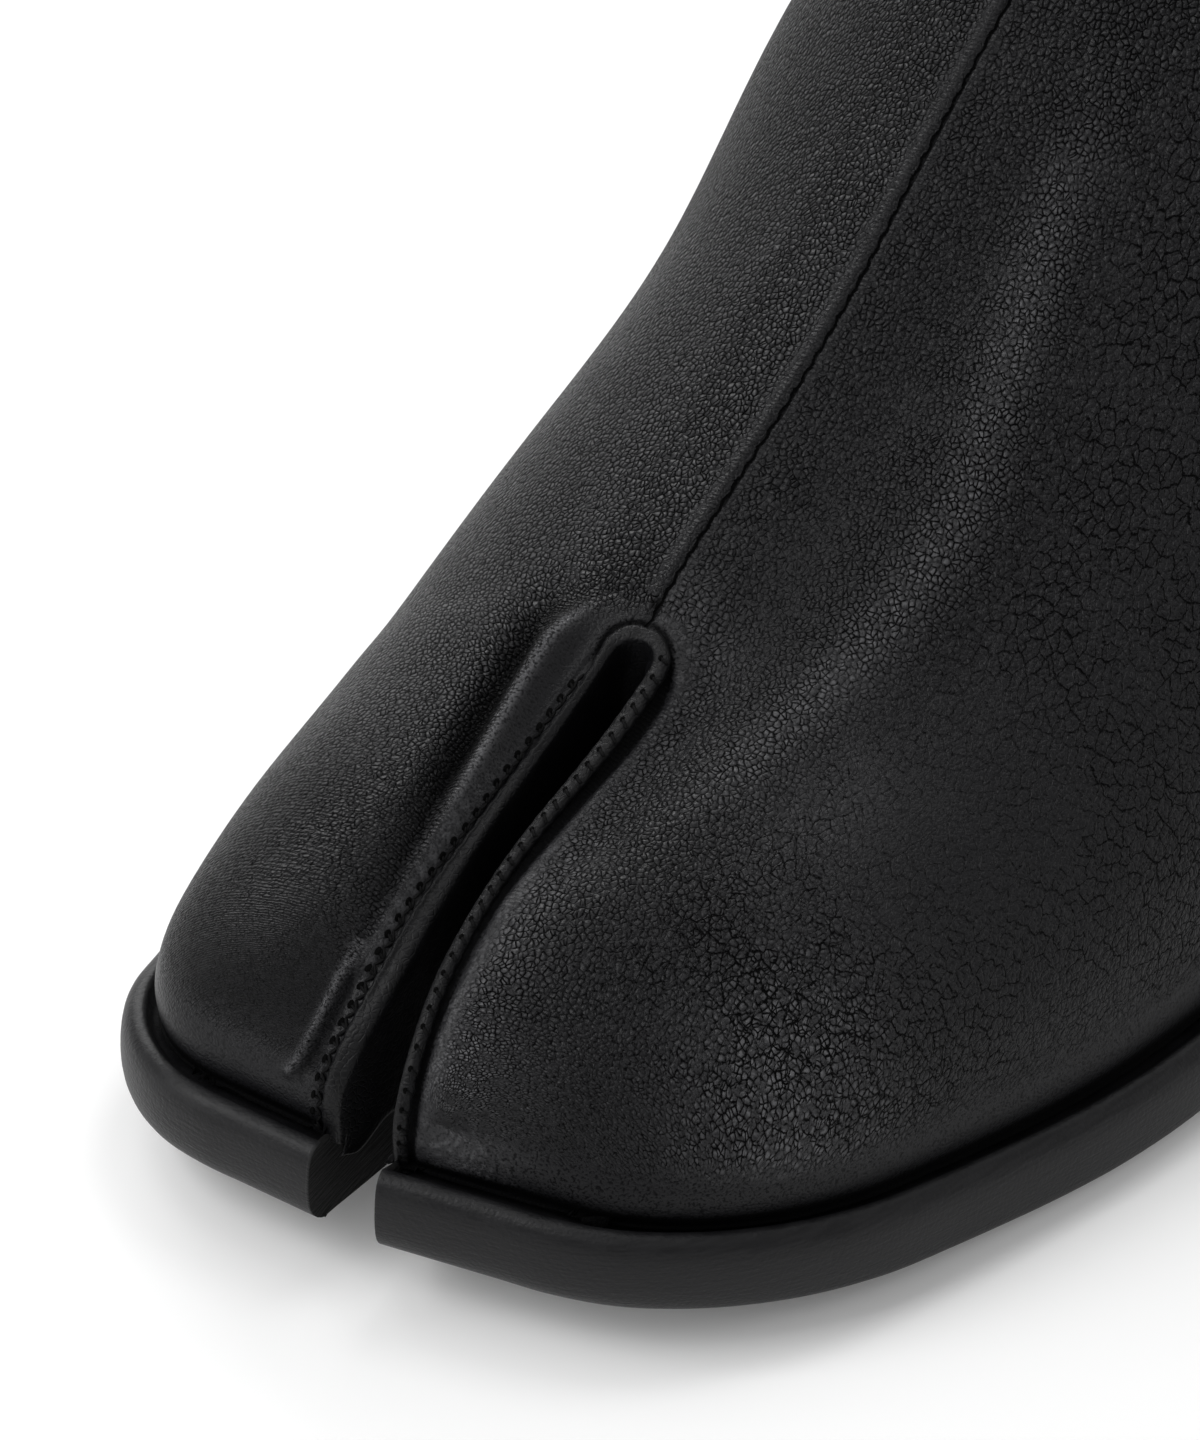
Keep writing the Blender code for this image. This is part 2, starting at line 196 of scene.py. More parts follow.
def normals(piece):
    return readOff(piece.data.vertices, "normal")


def faceMiddles(piece):
    return readOff(piece.data.polygons, "center"), readOff(piece.data.polygons, "normal")


def moveTo(piece, points):
    piece.data.vertices.foreach_set("co", np.asarray(points, np.float32).ravel())
    piece.data.update()


def gridPiece(name, rows):
    # a grid with one corner for each point of the rows
    bpy.ops.object.select_all(action="DESELECT")
    deep, long = len(rows[0]) - 1, len(rows) - 1
    bpy.ops.mesh.primitive_grid_add(x_subdivisions=deep, y_subdivisions=long, size=1)
    piece = bpy.context.object
    piece.name = name
    moveTo(piece, toFrame(rows))
    return piece


def note(piece, name, values):
    # a number at each corner of the mesh, for the materials to read
    layer = piece.data.attributes.new(name, "FLOAT", "POINT")
    layer.data.foreach_set("value", np.asarray(values, np.float32))


def surfaceOf(piece):
    mesh = piece.data
    return BVHTree.FromPolygons([v.co for v in mesh.vertices], [p.vertices for p in mesh.polygons])


def castOn(surface, point, direction):
    # hit point on the surface in the shoe's rule, and its normal
    hit, facing = surface.ray_cast(Vector(toFrame(point)[0]), Vector(direction))[:2]
    if hit is None:
        return None, None
    return toRule(hit)[0], np.array(facing)


def finishPiece(piece, slot, *replaced):
    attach(piece, "root")
    if replaced:
        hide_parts(*replaced)


soleSurface = surfaceOf(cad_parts["outsole"])
soleRule = {"steps": 140, "front": 5.0, "bigToeSide": -18.0, "middle": 8.0, "splitEnds": 60.0}


def soleTable(height, direction):
    # heights of the sole's top or bottom along the shoe, read off the frame
    table = []
    for along in np.linspace(soleRule["front"], shoe["length"] - soleRule["front"], soleRule["steps"]):
        across = soleRule["bigToeSide"] if along < soleRule["splitEnds"] else soleRule["middle"]
        hit = castOn(soleSurface, (across, along, height), (0, 0, direction))[0]
        table.append((along, hit[2]))
    return np.array(table)


soleTops = soleTable(shoe["above"], -1)
soleBottoms = soleTable(shoe["below"], 1)


def onTable(table, along):
    # read off the table, and carried on straight beyond its ends
    along = np.asarray(along, float)
    height = np.interp(along, table[:, 0], table[:, 1])
    (a0, h0), (a1, h1) = table[0], table[1]
    (b0, k0), (b1, k1) = table[-1], table[-2]
    height = height + (h1 - h0) / (a1 - a0) * np.minimum(along - a0, 0)
    return height + (k1 - k0) / (b1 - b0) * np.maximum(along - b0, 0)


def soleTop(along):
    return onTable(soleTops, along)


def soleBottom(along):
    return onTable(soleBottoms, along)


# Split between the toes: its line, its half width and its edges
split = {
    "root": 52.5,               # along, where it ends
    "half": 2.3,                # half width
    "bow": 0.9,                 # how far its line bends towards the big toe
    "flare": 1.1,               # how much wider either half is at the front
    "flareEnds": 15.0,
    "front": 3.2,
}
# The seam runs up the vamp from the root of the split to the throat
seamLine = [(50, -0.3), (62, -0.3), (71, 0.2), (82, 0.8), (90, 1.0), (100, 0.9), (110, 1.1), (127, 2.0)]


def splitLine(along):
    share = np.clip(np.asarray(along, float) / split["root"], 0, 1)
    return -split["bow"] * np.sin(np.pi * share) ** 2


def splitHalf(along):
    start = split["root"] - split["half"]
    past = np.clip(np.asarray(along, float) - start, 0, split["half"])
    flare = split["flare"] * (1 - fade(along, 0, split["flareEnds"]))
    return np.sqrt(split["half"] ** 2 - past ** 2) + flare


def lipGap(across, along):
    # distance from the edge of the split, over the leather
    start = split["root"] - split["half"]
    beside = np.abs(across - splitLine(along)) - splitHalf(along)
    behind = np.hypot(across - splitLine(start), along - start) - split["half"]
    return np.where(along < start, beside, behind)


# Width of the lip that is turned out over the leather on either side of the split: (along, width)
innerLip = [(4, 1.25), (10, 1.1), (18, 1.1), (27, 0.8), (41, 0.85), (50, 1.0), (53, 1.5)]
outerLip = [(4, 1.4), (12, 1.4), (25, 1.35), (32, 1.5), (41, 1.75), (46, 1.75), (50, 1.65), (53, 1.55)]


def lipReach(across, along):
    return np.where(across < splitLine(along), flow(innerLip, along), flow(outerLip, along))


stitch = {
    "thread": (0.17, 0.2),      # half thickness on the inner and on the outer side
    "hole": (0.4, 0.27),        # half size of the holes there
    "holeShape": (1.15, 0.85),  # longer along the lip than across it
    "holeRise": 0.09,
    "overlap": 1.12,            # each length of thread runs on past its ends
    "front": 2.5,               # along, where both rows start
    "knobs": 1.85,              # pitch of the leather between the stitches
    # start, sag and leg are distances out over the leather; the row is rougher at the front
    "inner": {"back": 47.0, "start": 0.1, "sag": 0.3, "leg": 0.75, "lean": 0.4, "lift": (0.05, 0.03),
              "rough": (9, 24), "roughSag": 0.25, "roughLeg": (0.8, 0.5)},
    # row is a share of the lip's width; the legs run from above the lip down to its foot
    "outer": {"back": 51.0, "row": 0.5, "lean": 0.5, "foot": 0.05, "rise": (1.16, 0.5), "sway": 0.15,
              "swayTurn": 7.3},
}

# Upper: the leather, shaped over the frame's wall
upper = {
    "levels": 2,
    "hold": 50,                 # edges that turn more than this stay crisp
    # finer leather beside the split and the seam: reach across, where it ends along, reach from the seam
    "fine": [
        {"across": (-18, 20), "ends": 66.0, "seam": 6.0},
        {"across": (-13, 14), "ends": 60.0, "seam": 3.0},
    ],
    "bigToeAxis": -19.0,
    "outerToesAxis": 24.0,
    "backAxis": 7.0,
    "axisHeight": 8.0,          # over the sole, where the foot's axis lies
    "toeTurn": 12.0,            # along, where the wall turns round the toes
    "heelTurn": 35.0,           # from the back, where it turns round the heel
    "creaseFacing": (-0.2, 0.3),    # creases fade where the leather faces down
    "frontEnds": (10, 14),      # along, where the creases of the big toe's front end
    "bigToeFront": -7.0,        # across, beyond this its front is puckered
    "rootPast": 4.0,            # how far behind the split the seam starts to still the grain
    "innerGrain": 0.4,          # on the lining
    "liningStarts": 9.0,        # from the split, inside
    "tuckHeight": 4.0,          # the lasting margin: over the sole, how far in and how far down
    "tuckDepth": 1.1,
    "tuckDrop": 0.9,
}
foldLine = [(12, -5.5), (18, -5.7), (24, -5.7), (29, -6.2), (36, -6.9), (41, -7.4), (45, -7.7), (50, -7.6),
            (53, -6.7), (55, -5.6), (57, -4.2)]
creviceLine = [(14, -6.9), (20, -7.2), (25, -7.5), (30, -8.0), (36, -8.6), (42, -9.4), (48, -10.1),
               (56, -10.6)]
crestLine = [(28, 11.4), (33, 12.2), (39, 14.4), (47, 15.8), (56, 17.8), (66, 19.4), (75, 19.7), (90, 16.5),
             (110, 13)]
outerGroove = [(4, 5.0), (7, 4.5), (12, 3.85), (18, 3.4), (25, 3.2), (29, 3.3), (36, 3.6), (41, 4.1),
               (45, 4.3), (49, 4.1), (52, 3.4)]
# Soft troughs and ridges: each line is (along, across), with its height in mm, its half widths towards
# the big toe and away from it, and where it fades in and out along the shoe
creases = [
    {"name": "fold beside the big toe", "height": 1.35, "width": (0.7, 1.6), "fadeIn": (14, 34),
     "fadeOut": (48, 56), "line": foldLine},
    {"name": "crevice outside the fold", "height": -1.55, "width": (1.5, 0.7), "fadeIn": (20, 38),
     "fadeOut": (44, 60), "line": creviceLine},
    {"name": "line on from the crevice", "height": -0.5, "width": (0.45, 0.35), "fadeIn": (11, 16),
     "fadeOut": (30, 40),
     "line": [(10, -6.1), (16, -6.3), (20, -6.5), (25, -7.0), (30, -7.7), (36, -8.4), (42, -9.3)]},
    {"name": "hollow inside the fold", "height": -0.25, "width": (0.9, 0.6), "fadeIn": (14, 24),
     "fadeOut": (47, 56), "line": [(14, -4.5), (30, -4.6), (40, -4.8), (54, -4.7)]},
    {"name": "valley beside the outer toes", "height": -1.35, "width": (2.2, 2.4), "fadeIn": (21, 34),
     "fadeOut": (48, 64),
     "line": [(22, 5.6), (28, 6.7), (33, 7.4), (37, 7.7), (41, 7.8), (45, 7.7), (49, 7.3), (60, 7.0)]},
    {"name": "trough beside the seam", "height": -0.95, "width": (3.6, 4.6), "fadeIn": (46, 62),
     "fadeOut": (95, 122),
     "line": [(46, 8.2), (56, 8.5), (64, 8.6), (73, 8.9), (83, 9.3), (92, 10.5), (118, 12)]},
    {"name": "crest of the vamp", "height": 0.6, "width": (3.6, 4.4), "fadeIn": (28, 42),
     "fadeOut": (88, 118), "line": crestLine},
    {"name": "welt of the seam", "height": 0.3, "width": (0.7, 0.7), "fadeIn": (53, 57),
     "fadeOut": (124, 128), "line": [(p, x - 0.9) for p, x in seamLine]},
    {"name": "groove of the seam", "height": -0.24, "width": (0.26, 0.26), "fadeIn": (53, 55),
     "fadeOut": (125, 129), "line": seamLine},
    {"name": "groove of the inner lip", "height": -0.3, "width": (0.25, 0.3), "fadeIn": (2, 4),
     "fadeOut": (50, 53),
     "line": [(3.5, -4.7), (7, -4.4), (10, -4.1), (18, -4.1), (27, -3.9), (34, -3.6), (48, -3.5),
              (52, -3.0)]},
    {"name": "groove of the outer lip", "height": -1.0, "width": (0.6, 0.5), "fadeIn": (20, 38),
     "fadeOut": (49, 53), "line": outerGroove},
    {"name": "line of the outer lip", "height": -0.45, "width": (0.6, 0.3), "fadeIn": (2, 4),
     "fadeOut": (24, 38), "line": outerGroove},
]
# the fold ends as a short ridge down the front of the big toe, with a trough beside it: (up, across)
frontCreases = [
    {"height": 1.0, "width": 0.5, "fadeIn": (19.5, 21.5), "fadeOut": (28, 30),
     "line": [(20.5, -8.2), (22.3, -7.4), (24.4, -6.9), (27.8, -6.4)]},
    {"height": -0.6, "width": 0.7, "fadeIn": (20, 22), "fadeOut": (28, 30),
     "line": [(20.5, -6.9), (22.3, -6.1), (24.4, -5.7), (27.8, -5.2)]},
]


def outerSide(rule, facing):
    # true where the wall's face looks away from the foot
    inFront = rule[:, 1] < split["root"]
    across = np.where(rule[:, 0] < splitLine(rule[:, 1]), upper["bigToeAxis"], upper["outerToesAxis"])
    across = np.where(inFront, across, upper["backAxis"])
    low = soleTop(rule[:, 1]) + upper["axisHeight"]
    height = np.where(rule[:, 1] > shoe["throat"], np.maximum(rule[:, 2], low), low)
    toAxis = np.stack([across - rule[:, 0], np.zeros(len(rule)), height - rule[:, 2]], 1)
    heelTurn = shoe["length"] - upper["heelTurn"]
    back = rule[:, 1] > heelTurn
    toAxis[back, 1] = heelTurn - rule[back, 1]
    front = rule[:, 1] < upper["toeTurn"]
    toAxis[front, 1] = upper["toeTurn"] - rule[front, 1]
    return (toAxis * facing).sum(1) < 0


def makeUpper():
    piece = copyNode("upper", "upper_leather")
    holdEdges(piece, upper["hold"])
    smoothOut(piece, upper["levels"])
    for zone in upper["fine"]:
        centres, facing = faceMiddles(piece)
        rule = toRule(centres)
        across, along = rule[:, 0], rule[:, 1]
        beside = (across > zone["across"][0]) & (across < zone["across"][1]) & (along < zone["ends"])
        nearSeam = (np.abs(across - flow(seamLine, along)) < zone["seam"]) & (along < shoe["throat"])
        editFaces(piece, outerSide(rule, facing) & (beside | (nearSeam & (along > split["root"]))))
        bpy.ops.mesh.subdivide(number_cuts=1)
        bpy.ops.mesh.vertices_smooth(factor=0.5, repeat=2)
        closeEdit()
        print("upper refined:", len(piece.data.polygons), "faces")
    return piece


def creaseUpper(piece):
    points, facing = corners(piece), normals(piece)
    rule = toRule(points)
    outer = outerSide(rule, facing)
    across, along, height = rule.T
    push = np.zeros(len(rule))
    upward = fade(facing[:, 2], *upper["creaseFacing"])
    for crease in creases:
        strength = span(along, crease["fadeIn"], crease["fadeOut"])
        gap = across - flow(crease["line"], along)
        push += crease["height"] * strength * bell(gap, np.where(gap < 0, *crease["width"]))
    for crease in frontCreases:
        strength = span(height, crease["fadeIn"], crease["fadeOut"]) * (1 - fade(along, *upper["frontEnds"]))
        push += crease["height"] * strength * bell(across - flow(crease["line"], height), crease["width"])
    points += facing * (push * outer * upward)[:, None] / 1000
    # the lasting margin tucks in under the leather and sinks to the sole
    over = rule[:, 2] - soleTop(along)
    near = np.clip(1 - over / upper["tuckHeight"], 0, 1) ** 2
    level = facing * (1, 1, 0)
    inward = np.where(outer, -1.0, 1.0)[:, None] * level
    points += inward * (near * upper["tuckDepth"])[:, None] / 1000
    points[:, 2] -= near * upper["tuckDrop"] / 1000
    moveTo(piece, points)
    return outer


# The leather laid flat: how far round from the seam, and how far along, both in millimetres
flat = {
    "axis": 7.0,                # across
    "axisHeight": 6.0,          # over the sole
    "turns": np.radians(np.arange(-110, 111, 2)),
    "places": np.arange(8, 269, 2.0),
    "outside": 120.0,           # from the axis, clear of the wall
    "nearest": 4.0,             # hits closer to the axis than this aren't the wall
    "blur": (6, 4),             # times, for the distances and for the way round
    "toeWall": (5.0, 19.0),     # along, where the front wall turns into the top
    "heelWall": (244.0, 268.0),     # along, where the sides turn into the back wall
    "seamPast": 3.0,            # how far the seam runs past the throat
    "finer": 1.12,              # the medial half has smaller cells
}


def blur(table, times):
    # softens a table both ways
    for again in range(times):
        for side in (0, 1):
            ends = np.concatenate([table.take([0], side), table, table.take([-1], side)], side)
            count = table.shape[side]
            low, high = [ends.take(range(k, k + count), side) for k in (0, 2)]
            table = (low + 2 * table + high) / 4
    return table


def flatTables():
    # the wall's distance from the axis at each turn and place, and the way round from the seam
    far = np.zeros((len(flat["places"]), len(flat["turns"])))
    for i, along in enumerate(flat["places"]):
        middle = np.array((flat["axis"], along, soleTop(along) + flat["axisHeight"]))
        for k, turn in enumerate(flat["turns"]):
            ray = np.array((math.sin(turn), 0, math.cos(turn)))
            hit, facing = castOn(wallSurface, middle + ray * flat["outside"], -ray)
            far[i, k] = np.nan if hit is None else np.dot(hit - middle, ray)
        far[i] = np.where(far[i] < flat["nearest"], np.nan, far[i])
        held = np.isfinite(far[i])
        far[i] = np.interp(flat["turns"], flat["turns"][held], far[i][held])
    far = blur(far, flat["blur"][0])
    steps = np.hypot(far, np.gradient(far, flat["turns"], axis=1))
    step = flat["turns"][1] - flat["turns"][0]
    way = np.cumsum(steps, axis=1) * step
    straightUp = int(np.argmin(np.abs(flat["turns"])))
    return far, blur(way - way[:, [straightUp]], flat["blur"][1])


def tablePlace(where, steps):
    # the table's step below each value, and the share of the way to the next one
    place = np.clip((where - steps[0]) / (steps[1] - steps[0]), 0, len(steps) - 1.001)
    below = place.astype(int)
    return below, place - below


def readTable(table, turn, along):
    # value between the table's places
    i, s = tablePlace(along, flat["places"])
    k, t = tablePlace(turn, flat["turns"])
    low = table[i, k] * (1 - t) + table[i, k + 1] * t
    return low * (1 - s) + (table[i + 1, k] * (1 - t) + table[i + 1, k + 1] * t) * s


def noteFlat(piece):
    rule = toRule(corners(piece))
    across, along, height = rule.T
    over = height - soleTop(along) - flat["axisHeight"]
    turn = np.arctan2(across - flat["axis"], over)
    far, way = flatTables()
    inFront = 1 - fade(along, *flat["toeWall"])
    atBack = fade(along, *flat["heelWall"])
    reach = np.hypot(across - flat["axis"], over)
    toeDrop = readTable(far, turn, np.full(len(rule), flat["toeWall"][1])) - reach
    heelDrop = readTable(far, turn, np.full(len(rule), flat["heelWall"][0])) - reach
    middle = np.where(along < shoe["throat"] + flat["seamPast"], flow(seamLine, along), shoe["heelMiddle"])
    finer = np.where(across < middle, flat["finer"], 1.0)
    note(piece, "flatAcross", readTable(way, turn, along) * finer)
    note(piece, "flatAlong", (along - toeDrop * inFront + heelDrop * atBack) * finer)


seams = {
    "farOff": 50.0,             # marks the corners that a seam doesn't reach
    "past": 4.0,                # the front seam runs this far past the throat, the collar's edge ahead of it
    "back": 60.0,               # from the heel, where the back seam starts
    "rimStep": 2.0,             # spacing and reach of the heights read along the collar's edge
    "rimReach": 1.5,
}


def noteSeams(piece, outer):
    across, along, height = toRule(corners(piece)).T
    farOff = seams["farOff"]
    shows = (along > split["root"]) & (along < shoe["throat"] + seams["past"]) & outer
    note(piece, "seamAcross", np.where(shows, across - flow(seamLine, along), farOff))
    note(piece, "seamAlong", along)
    shows = (along > shoe["length"] - seams["back"]) & outer
    note(piece, "backAcross", np.where(shows, across - shoe["heelMiddle"], farOff))
    # depth below the collar's edge
    places = np.arange(shoe["throat"] - 1, shoe["length"], seams["rimStep"])
    rims = [height[np.abs(along - p) < seams["rimReach"]] for p in places]
    rims = [rim.max() for rim in rims if len(rim)]
    below = np.interp(along, places[:len(rims)], rims) - height
    shows = (along > shoe["throat"] - seams["past"]) & outer
    note(piece, "collarDepth", np.where(shows, below, farOff))


# Soft patches of the leather: middle (across, along) and reach both ways
patches = {
    "littleToe": {"middle": (35, 21), "reach": (8, 10)},
    "quietToe": {"middle": (19.5, 15), "reach": (7, 13)},
    "smooth": {"middle": (33, 52), "reach": (9, 11), "width": 1.0},
}
# Patches of painted sheen, a lighter colour that stands in for highlights, and its strength
paintedSheens = [
    (0.3, {"middle": (24.5, 46.0), "reach": (4.0, 6.0)}),
    (0.25, {"middle": (21.5, 37.0), "reach": (3.5, 5.0)}),
    (0.45, {"middle": (-6.0, 25.0), "reach": (1.6, 7.0)}),
    (0.4, {"middle": (10.5, 7.0), "reach": (5.0, 5.0)}),
]
# Soft steps by name, along the shoe unless the name says what they are measured from: start, and end
zones = {
    "behindRoot": [(50, 58)],
    "trough": [(46, 60), (100, 120)],
    "bigToe": [(6, 34)],
    "outerSpan": [(26, 44)],
    "outerSpanFromCrest": [(3.0, 9.0)],
    # strength of the grain
    "grainOverSole": [(4.5, 8.5)],
    "grainFromFold": [(-0.4, 0.7)],
    "grainFromLip": [(2.8, 5.5)],
    "grainFromRoot": [(1.6, 4.5)],
    "grainFromSeam": [(0.8, 2.2)],
    "grainOnCrest": [(30, 44)],
    "grainByLip": [(30, 42)],
    "grainMedial": [(26, 46)],
    # long cracks
    "crackle": [(8, 26)],
    "crackleFromCrest": [(1.0, 12.0)],
    "crackleOverSole": [(5, 10)],
    # fine puckers
    "puckerByFold": [(14, 22), (52, 60)],
    "puckerFromFold": [(-0.7, 0.1), (2.4, 4.6)],
    "puckerByLip": [(18, 28), (50, 58)],
    "puckerBySeam": [(55, 60)],
    "puckerOnToe": [(24, 38)],
    "puckerOverSole": [(5, 9)],
    # rubbed edges, also a painted highlight
    "rubOnFold": [(25, 37), (50, 56)],
    "rubUpRidge": [(20, 22)],
    "knobs": [(6, 12), (30, 42)],
    # painted highlight: lighter tops of the cells
    "topsOnCrest": [(32, 46), (96, 120)],
    "topsOverSole": [(4, 8)],
    "topsByLip": [(2, 8)],
    "topsByLipFade": [(26, 36)],
    "topsBySeam": [(56, 64)],
    "topsBySeamFade": [(84, 104)],
    "topsFromSeam": [(0.5, 2.5), (5, 9)],
    "topsMedial": [(24, 40)],
    "topsFromFold": [(2, 6)],
    # painted shade in the hollows
    "grooveWidens": [(22, 38)],
    "grooveEnds": [(48, 52)],
    "hollowOfCrevice": [(26, 38), (46, 58)],
    "hollowOfRoot": [(46, 51)],
    "hollowAtSole": [(0.3, 1.7)],
    "hollowOverSole": [(2.5, 9.0)],
    "hollowFromLip": [(4, 12)],
    "hollowMedial": [(84, 104)],
    "hollowFromSeam": [(5, 14)],
    "liningAtSole": [(1.0, 3.0)],
    "liningFromLip": [(9.0, 11.0)],
}
# Soft bands by name: how far its middle lies from a line of the leather, and its half width
bands = {
    "trough": (9.0, 3.2),
    "grainOnCrest": (0.0, 3.0),
    "grainByLip": (5.5, 2.5),
    "puckerByLip": (4.4, 1.6),
    "puckerBySeam": (1.0, 0.6),
    "rubOnFold": (-0.15, 0.45),
    "rubUpRidge": (-0.2, 0.4),
    "knobs": (0.9, 0.35),
    "topsOnCrest": (0.5, 1.9),
    "topsByLip": (5.0, 2.1),
    "hollowOfCrevice": (0.0, 0.9),
    "hollowOfRoot": (0.0, 0.22),
}
# How much stronger or weaker the grain is in each place
grainChanges = {"outerSpan": -0.55, "trough": -0.6, "quietToe": -0.55, "bigToe": -0.5, "smooth": -0.85,
                "littleToe": 0.35, "crest": 0.25, "lip": 0.4, "medial": 0.75}


def band(where, name):
    middle, width = bands[name]
    return bell(where - middle, width)


def zone(where, name):
    steps = zones[name]
    return span(where, *steps) if len(steps) == 2 else fade(where, *steps[0])


def patch(across, along, middle, reach, width=0.8):
    return bell(np.hypot((across - middle[0]) / reach[0], (along - middle[1]) / reach[1]), width)


def noteUpper(piece, outer):
    across, along, height = toRule(corners(piece)).T
    over = height - soleTop(along)
    gap = lipGap(across, along)
    lipEnd = gap - lipReach(across, along)
    fromSeam = across - flow(seamLine, along)
    fromFold = flow(foldLine, along) - across
    fromCrest = across - flow(crestLine, along)
    inward = across < splitLine(along)
    outward = ~inward
    places = {name: patch(across, along, **settings) for name, settings in patches.items()}
    places["outerSpan"] = zone(fromCrest, "outerSpanFromCrest") * zone(along, "outerSpan")
    places["trough"] = band(across, "trough") * zone(along, "trough")
    places["bigToe"] = (across < 0) * (1 - zone(along, "bigToe"))
    places["crest"] = band(fromCrest, "grainOnCrest") * zone(along, "grainOnCrest")
    places["lip"] = band(gap, "grainByLip") * outward * (1 - zone(along, "grainByLip"))
    places["medial"] = inward * zone(along, "grainMedial")
    # pebbled grain, weaker beside the split, the seam and the sole
    behind = zone(along, "behindRoot")
    beside = np.where(inward, zone(fromFold, "grainFromFold"), zone(gap, "grainFromLip"))
    grain = zone(over, "grainOverSole") * (beside * (1 - behind) + zone(gap, "grainFromRoot") * behind)
    besideSeam = zone(np.abs(fromSeam + 0.5), "grainFromSeam") * 0.85 + 0.15
    grain *= np.where(along < split["root"] + upper["rootPast"], 1, besideSeam)
    for name, change in grainChanges.items():
        grain *= 1 + change * places[name]
    note(piece, "grain", np.where(outer, grain, upper["innerGrain"]))
    crackle = zone(fromCrest, "crackleFromCrest") * zone(over, "crackleOverSole") * zone(along, "crackle")
    crackle *= 1 - 0.75 * places["smooth"]
    note(piece, "crackle", np.where(outer, crackle, 0))
    # fine puckers: at the fold, the outer lip and the seam, and on the front of the big toe
    pucker = zone(fromFold, "puckerFromFold") * zone(along, "puckerByFold")
    pucker += 0.6 * band(gap, "puckerByLip") * outward * zone(along, "puckerByLip")
    onVamp = zone(along, "puckerBySeam") * (along < shoe["throat"] + flat["seamPast"])
    pucker += 0.4 * band(np.abs(fromSeam), "puckerBySeam") * onVamp
    onToe = (across < upper["bigToeFront"]) * (1 - zone(along, "puckerOnToe"))
    pucker += 0.55 * onToe * zone(over, "puckerOverSole")
    note(piece, "pucker", np.where(outer, pucker, 0))
    # rubbed edges with painted highlight: the fold's crest, the short ridge in front, and knobs between the
    # inner lip's stitches
    wearAndSheen = band(fromFold, "rubOnFold") * zone(along, "rubOnFold")
    fromRidge = across - flow(frontCreases[0]["line"], height)
    onFront = zone(height, "rubUpRidge") * (along < upper["frontEnds"][1]) * inward
    wearAndSheen += 0.7 * band(fromRidge, "rubUpRidge") * onFront
    knob = (0.5 + 0.5 * np.cos(2 * np.pi * along / stitch["knobs"])) * zone(along, "knobs")
    wearAndSheen += 0.25 * knob * band(lipEnd, "knobs") * inward
    note(piece, "wearAndSheen", np.where(outer, wearAndSheen, 0))
    # painted highlight, lighter tops of the cells: the vamp's crest, the little toe, beside the outer lip
    # and the seam, and the big toe; and the painted sheens
    paintedHighlight = 0.8 * band(fromCrest, "topsOnCrest") * zone(along, "topsOnCrest")
    paintedHighlight += 1.25 * places["littleToe"] * zone(over, "topsOverSole")
    besideLip = zone(along, "topsByLip") * (1 - 0.35 * zone(along, "topsByLipFade"))
    paintedHighlight += 0.7 * band(gap, "topsByLip") * outward * besideLip
    besideSeam = zone(along, "topsBySeam") * (1 - 0.6 * zone(along, "topsBySeamFade"))
    paintedHighlight += 0.4 * zone(-fromSeam, "topsFromSeam") * besideSeam
    paintedHighlight += 0.42 * zone(fromFold, "topsFromFold") * inward * zone(along, "topsMedial")
    for strength, settings in paintedSheens:
        paintedHighlight += strength * patch(across, along, **settings)
    note(piece, "paintedHighlight", np.where(outer, paintedHighlight, 0))
    # painted shade in the hollows: beside the lips, in the crevice, at the sole, in the trough, on the outer
    # toes' front, high on the medial side
    groove = across - flow(outerGroove, along)
    grooveWidth = np.where(groove < 0, 0.8, 0.2 + 0.3 * zone(along, "grooveWidens"))
    hollow = bell(groove, grooveWidth) * outward * (1 - zone(along, "grooveEnds"))
    fromCrevice = across - flow(creviceLine, along)
    hollow += 0.45 * band(fromCrevice, "hollowOfCrevice") * zone(along, "hollowOfCrevice")
    hollow += band(lipEnd, "hollowOfRoot") * zone(along, "hollowOfRoot")
    hollow += 1 - zone(over, "hollowAtSole")
    hollow += 0.25 * (1 - zone(over, "hollowOverSole")) * outward * zone(gap, "hollowFromLip")
    hollow += (0.2 * places["trough"] + 0.12 * places["quietToe"]) * outward
    hollow += 0.3 * inward * zone(along, "hollowMedial") * zone(-fromSeam, "hollowFromSeam")
    # painted shade on the inside faces: darker near the sole and near the split
    lining = np.maximum(1 - zone(over, "liningAtSole"), 1 - zone(gap, "liningFromLip"))
    note(piece, "hollow", np.where(outer, hollow, lining))


wallSurface = surfaceOf(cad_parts["upper"])
leatherPiece = makeUpper()
noteFlat(leatherPiece)
outerLeather = creaseUpper(leatherPiece)
noteSeams(leatherPiece, outerLeather)
noteUpper(leatherPiece, outerLeather)
leatherSurface = surfaceOf(leatherPiece)
print("upper creased:", len(leatherPiece.data.polygons), "faces")

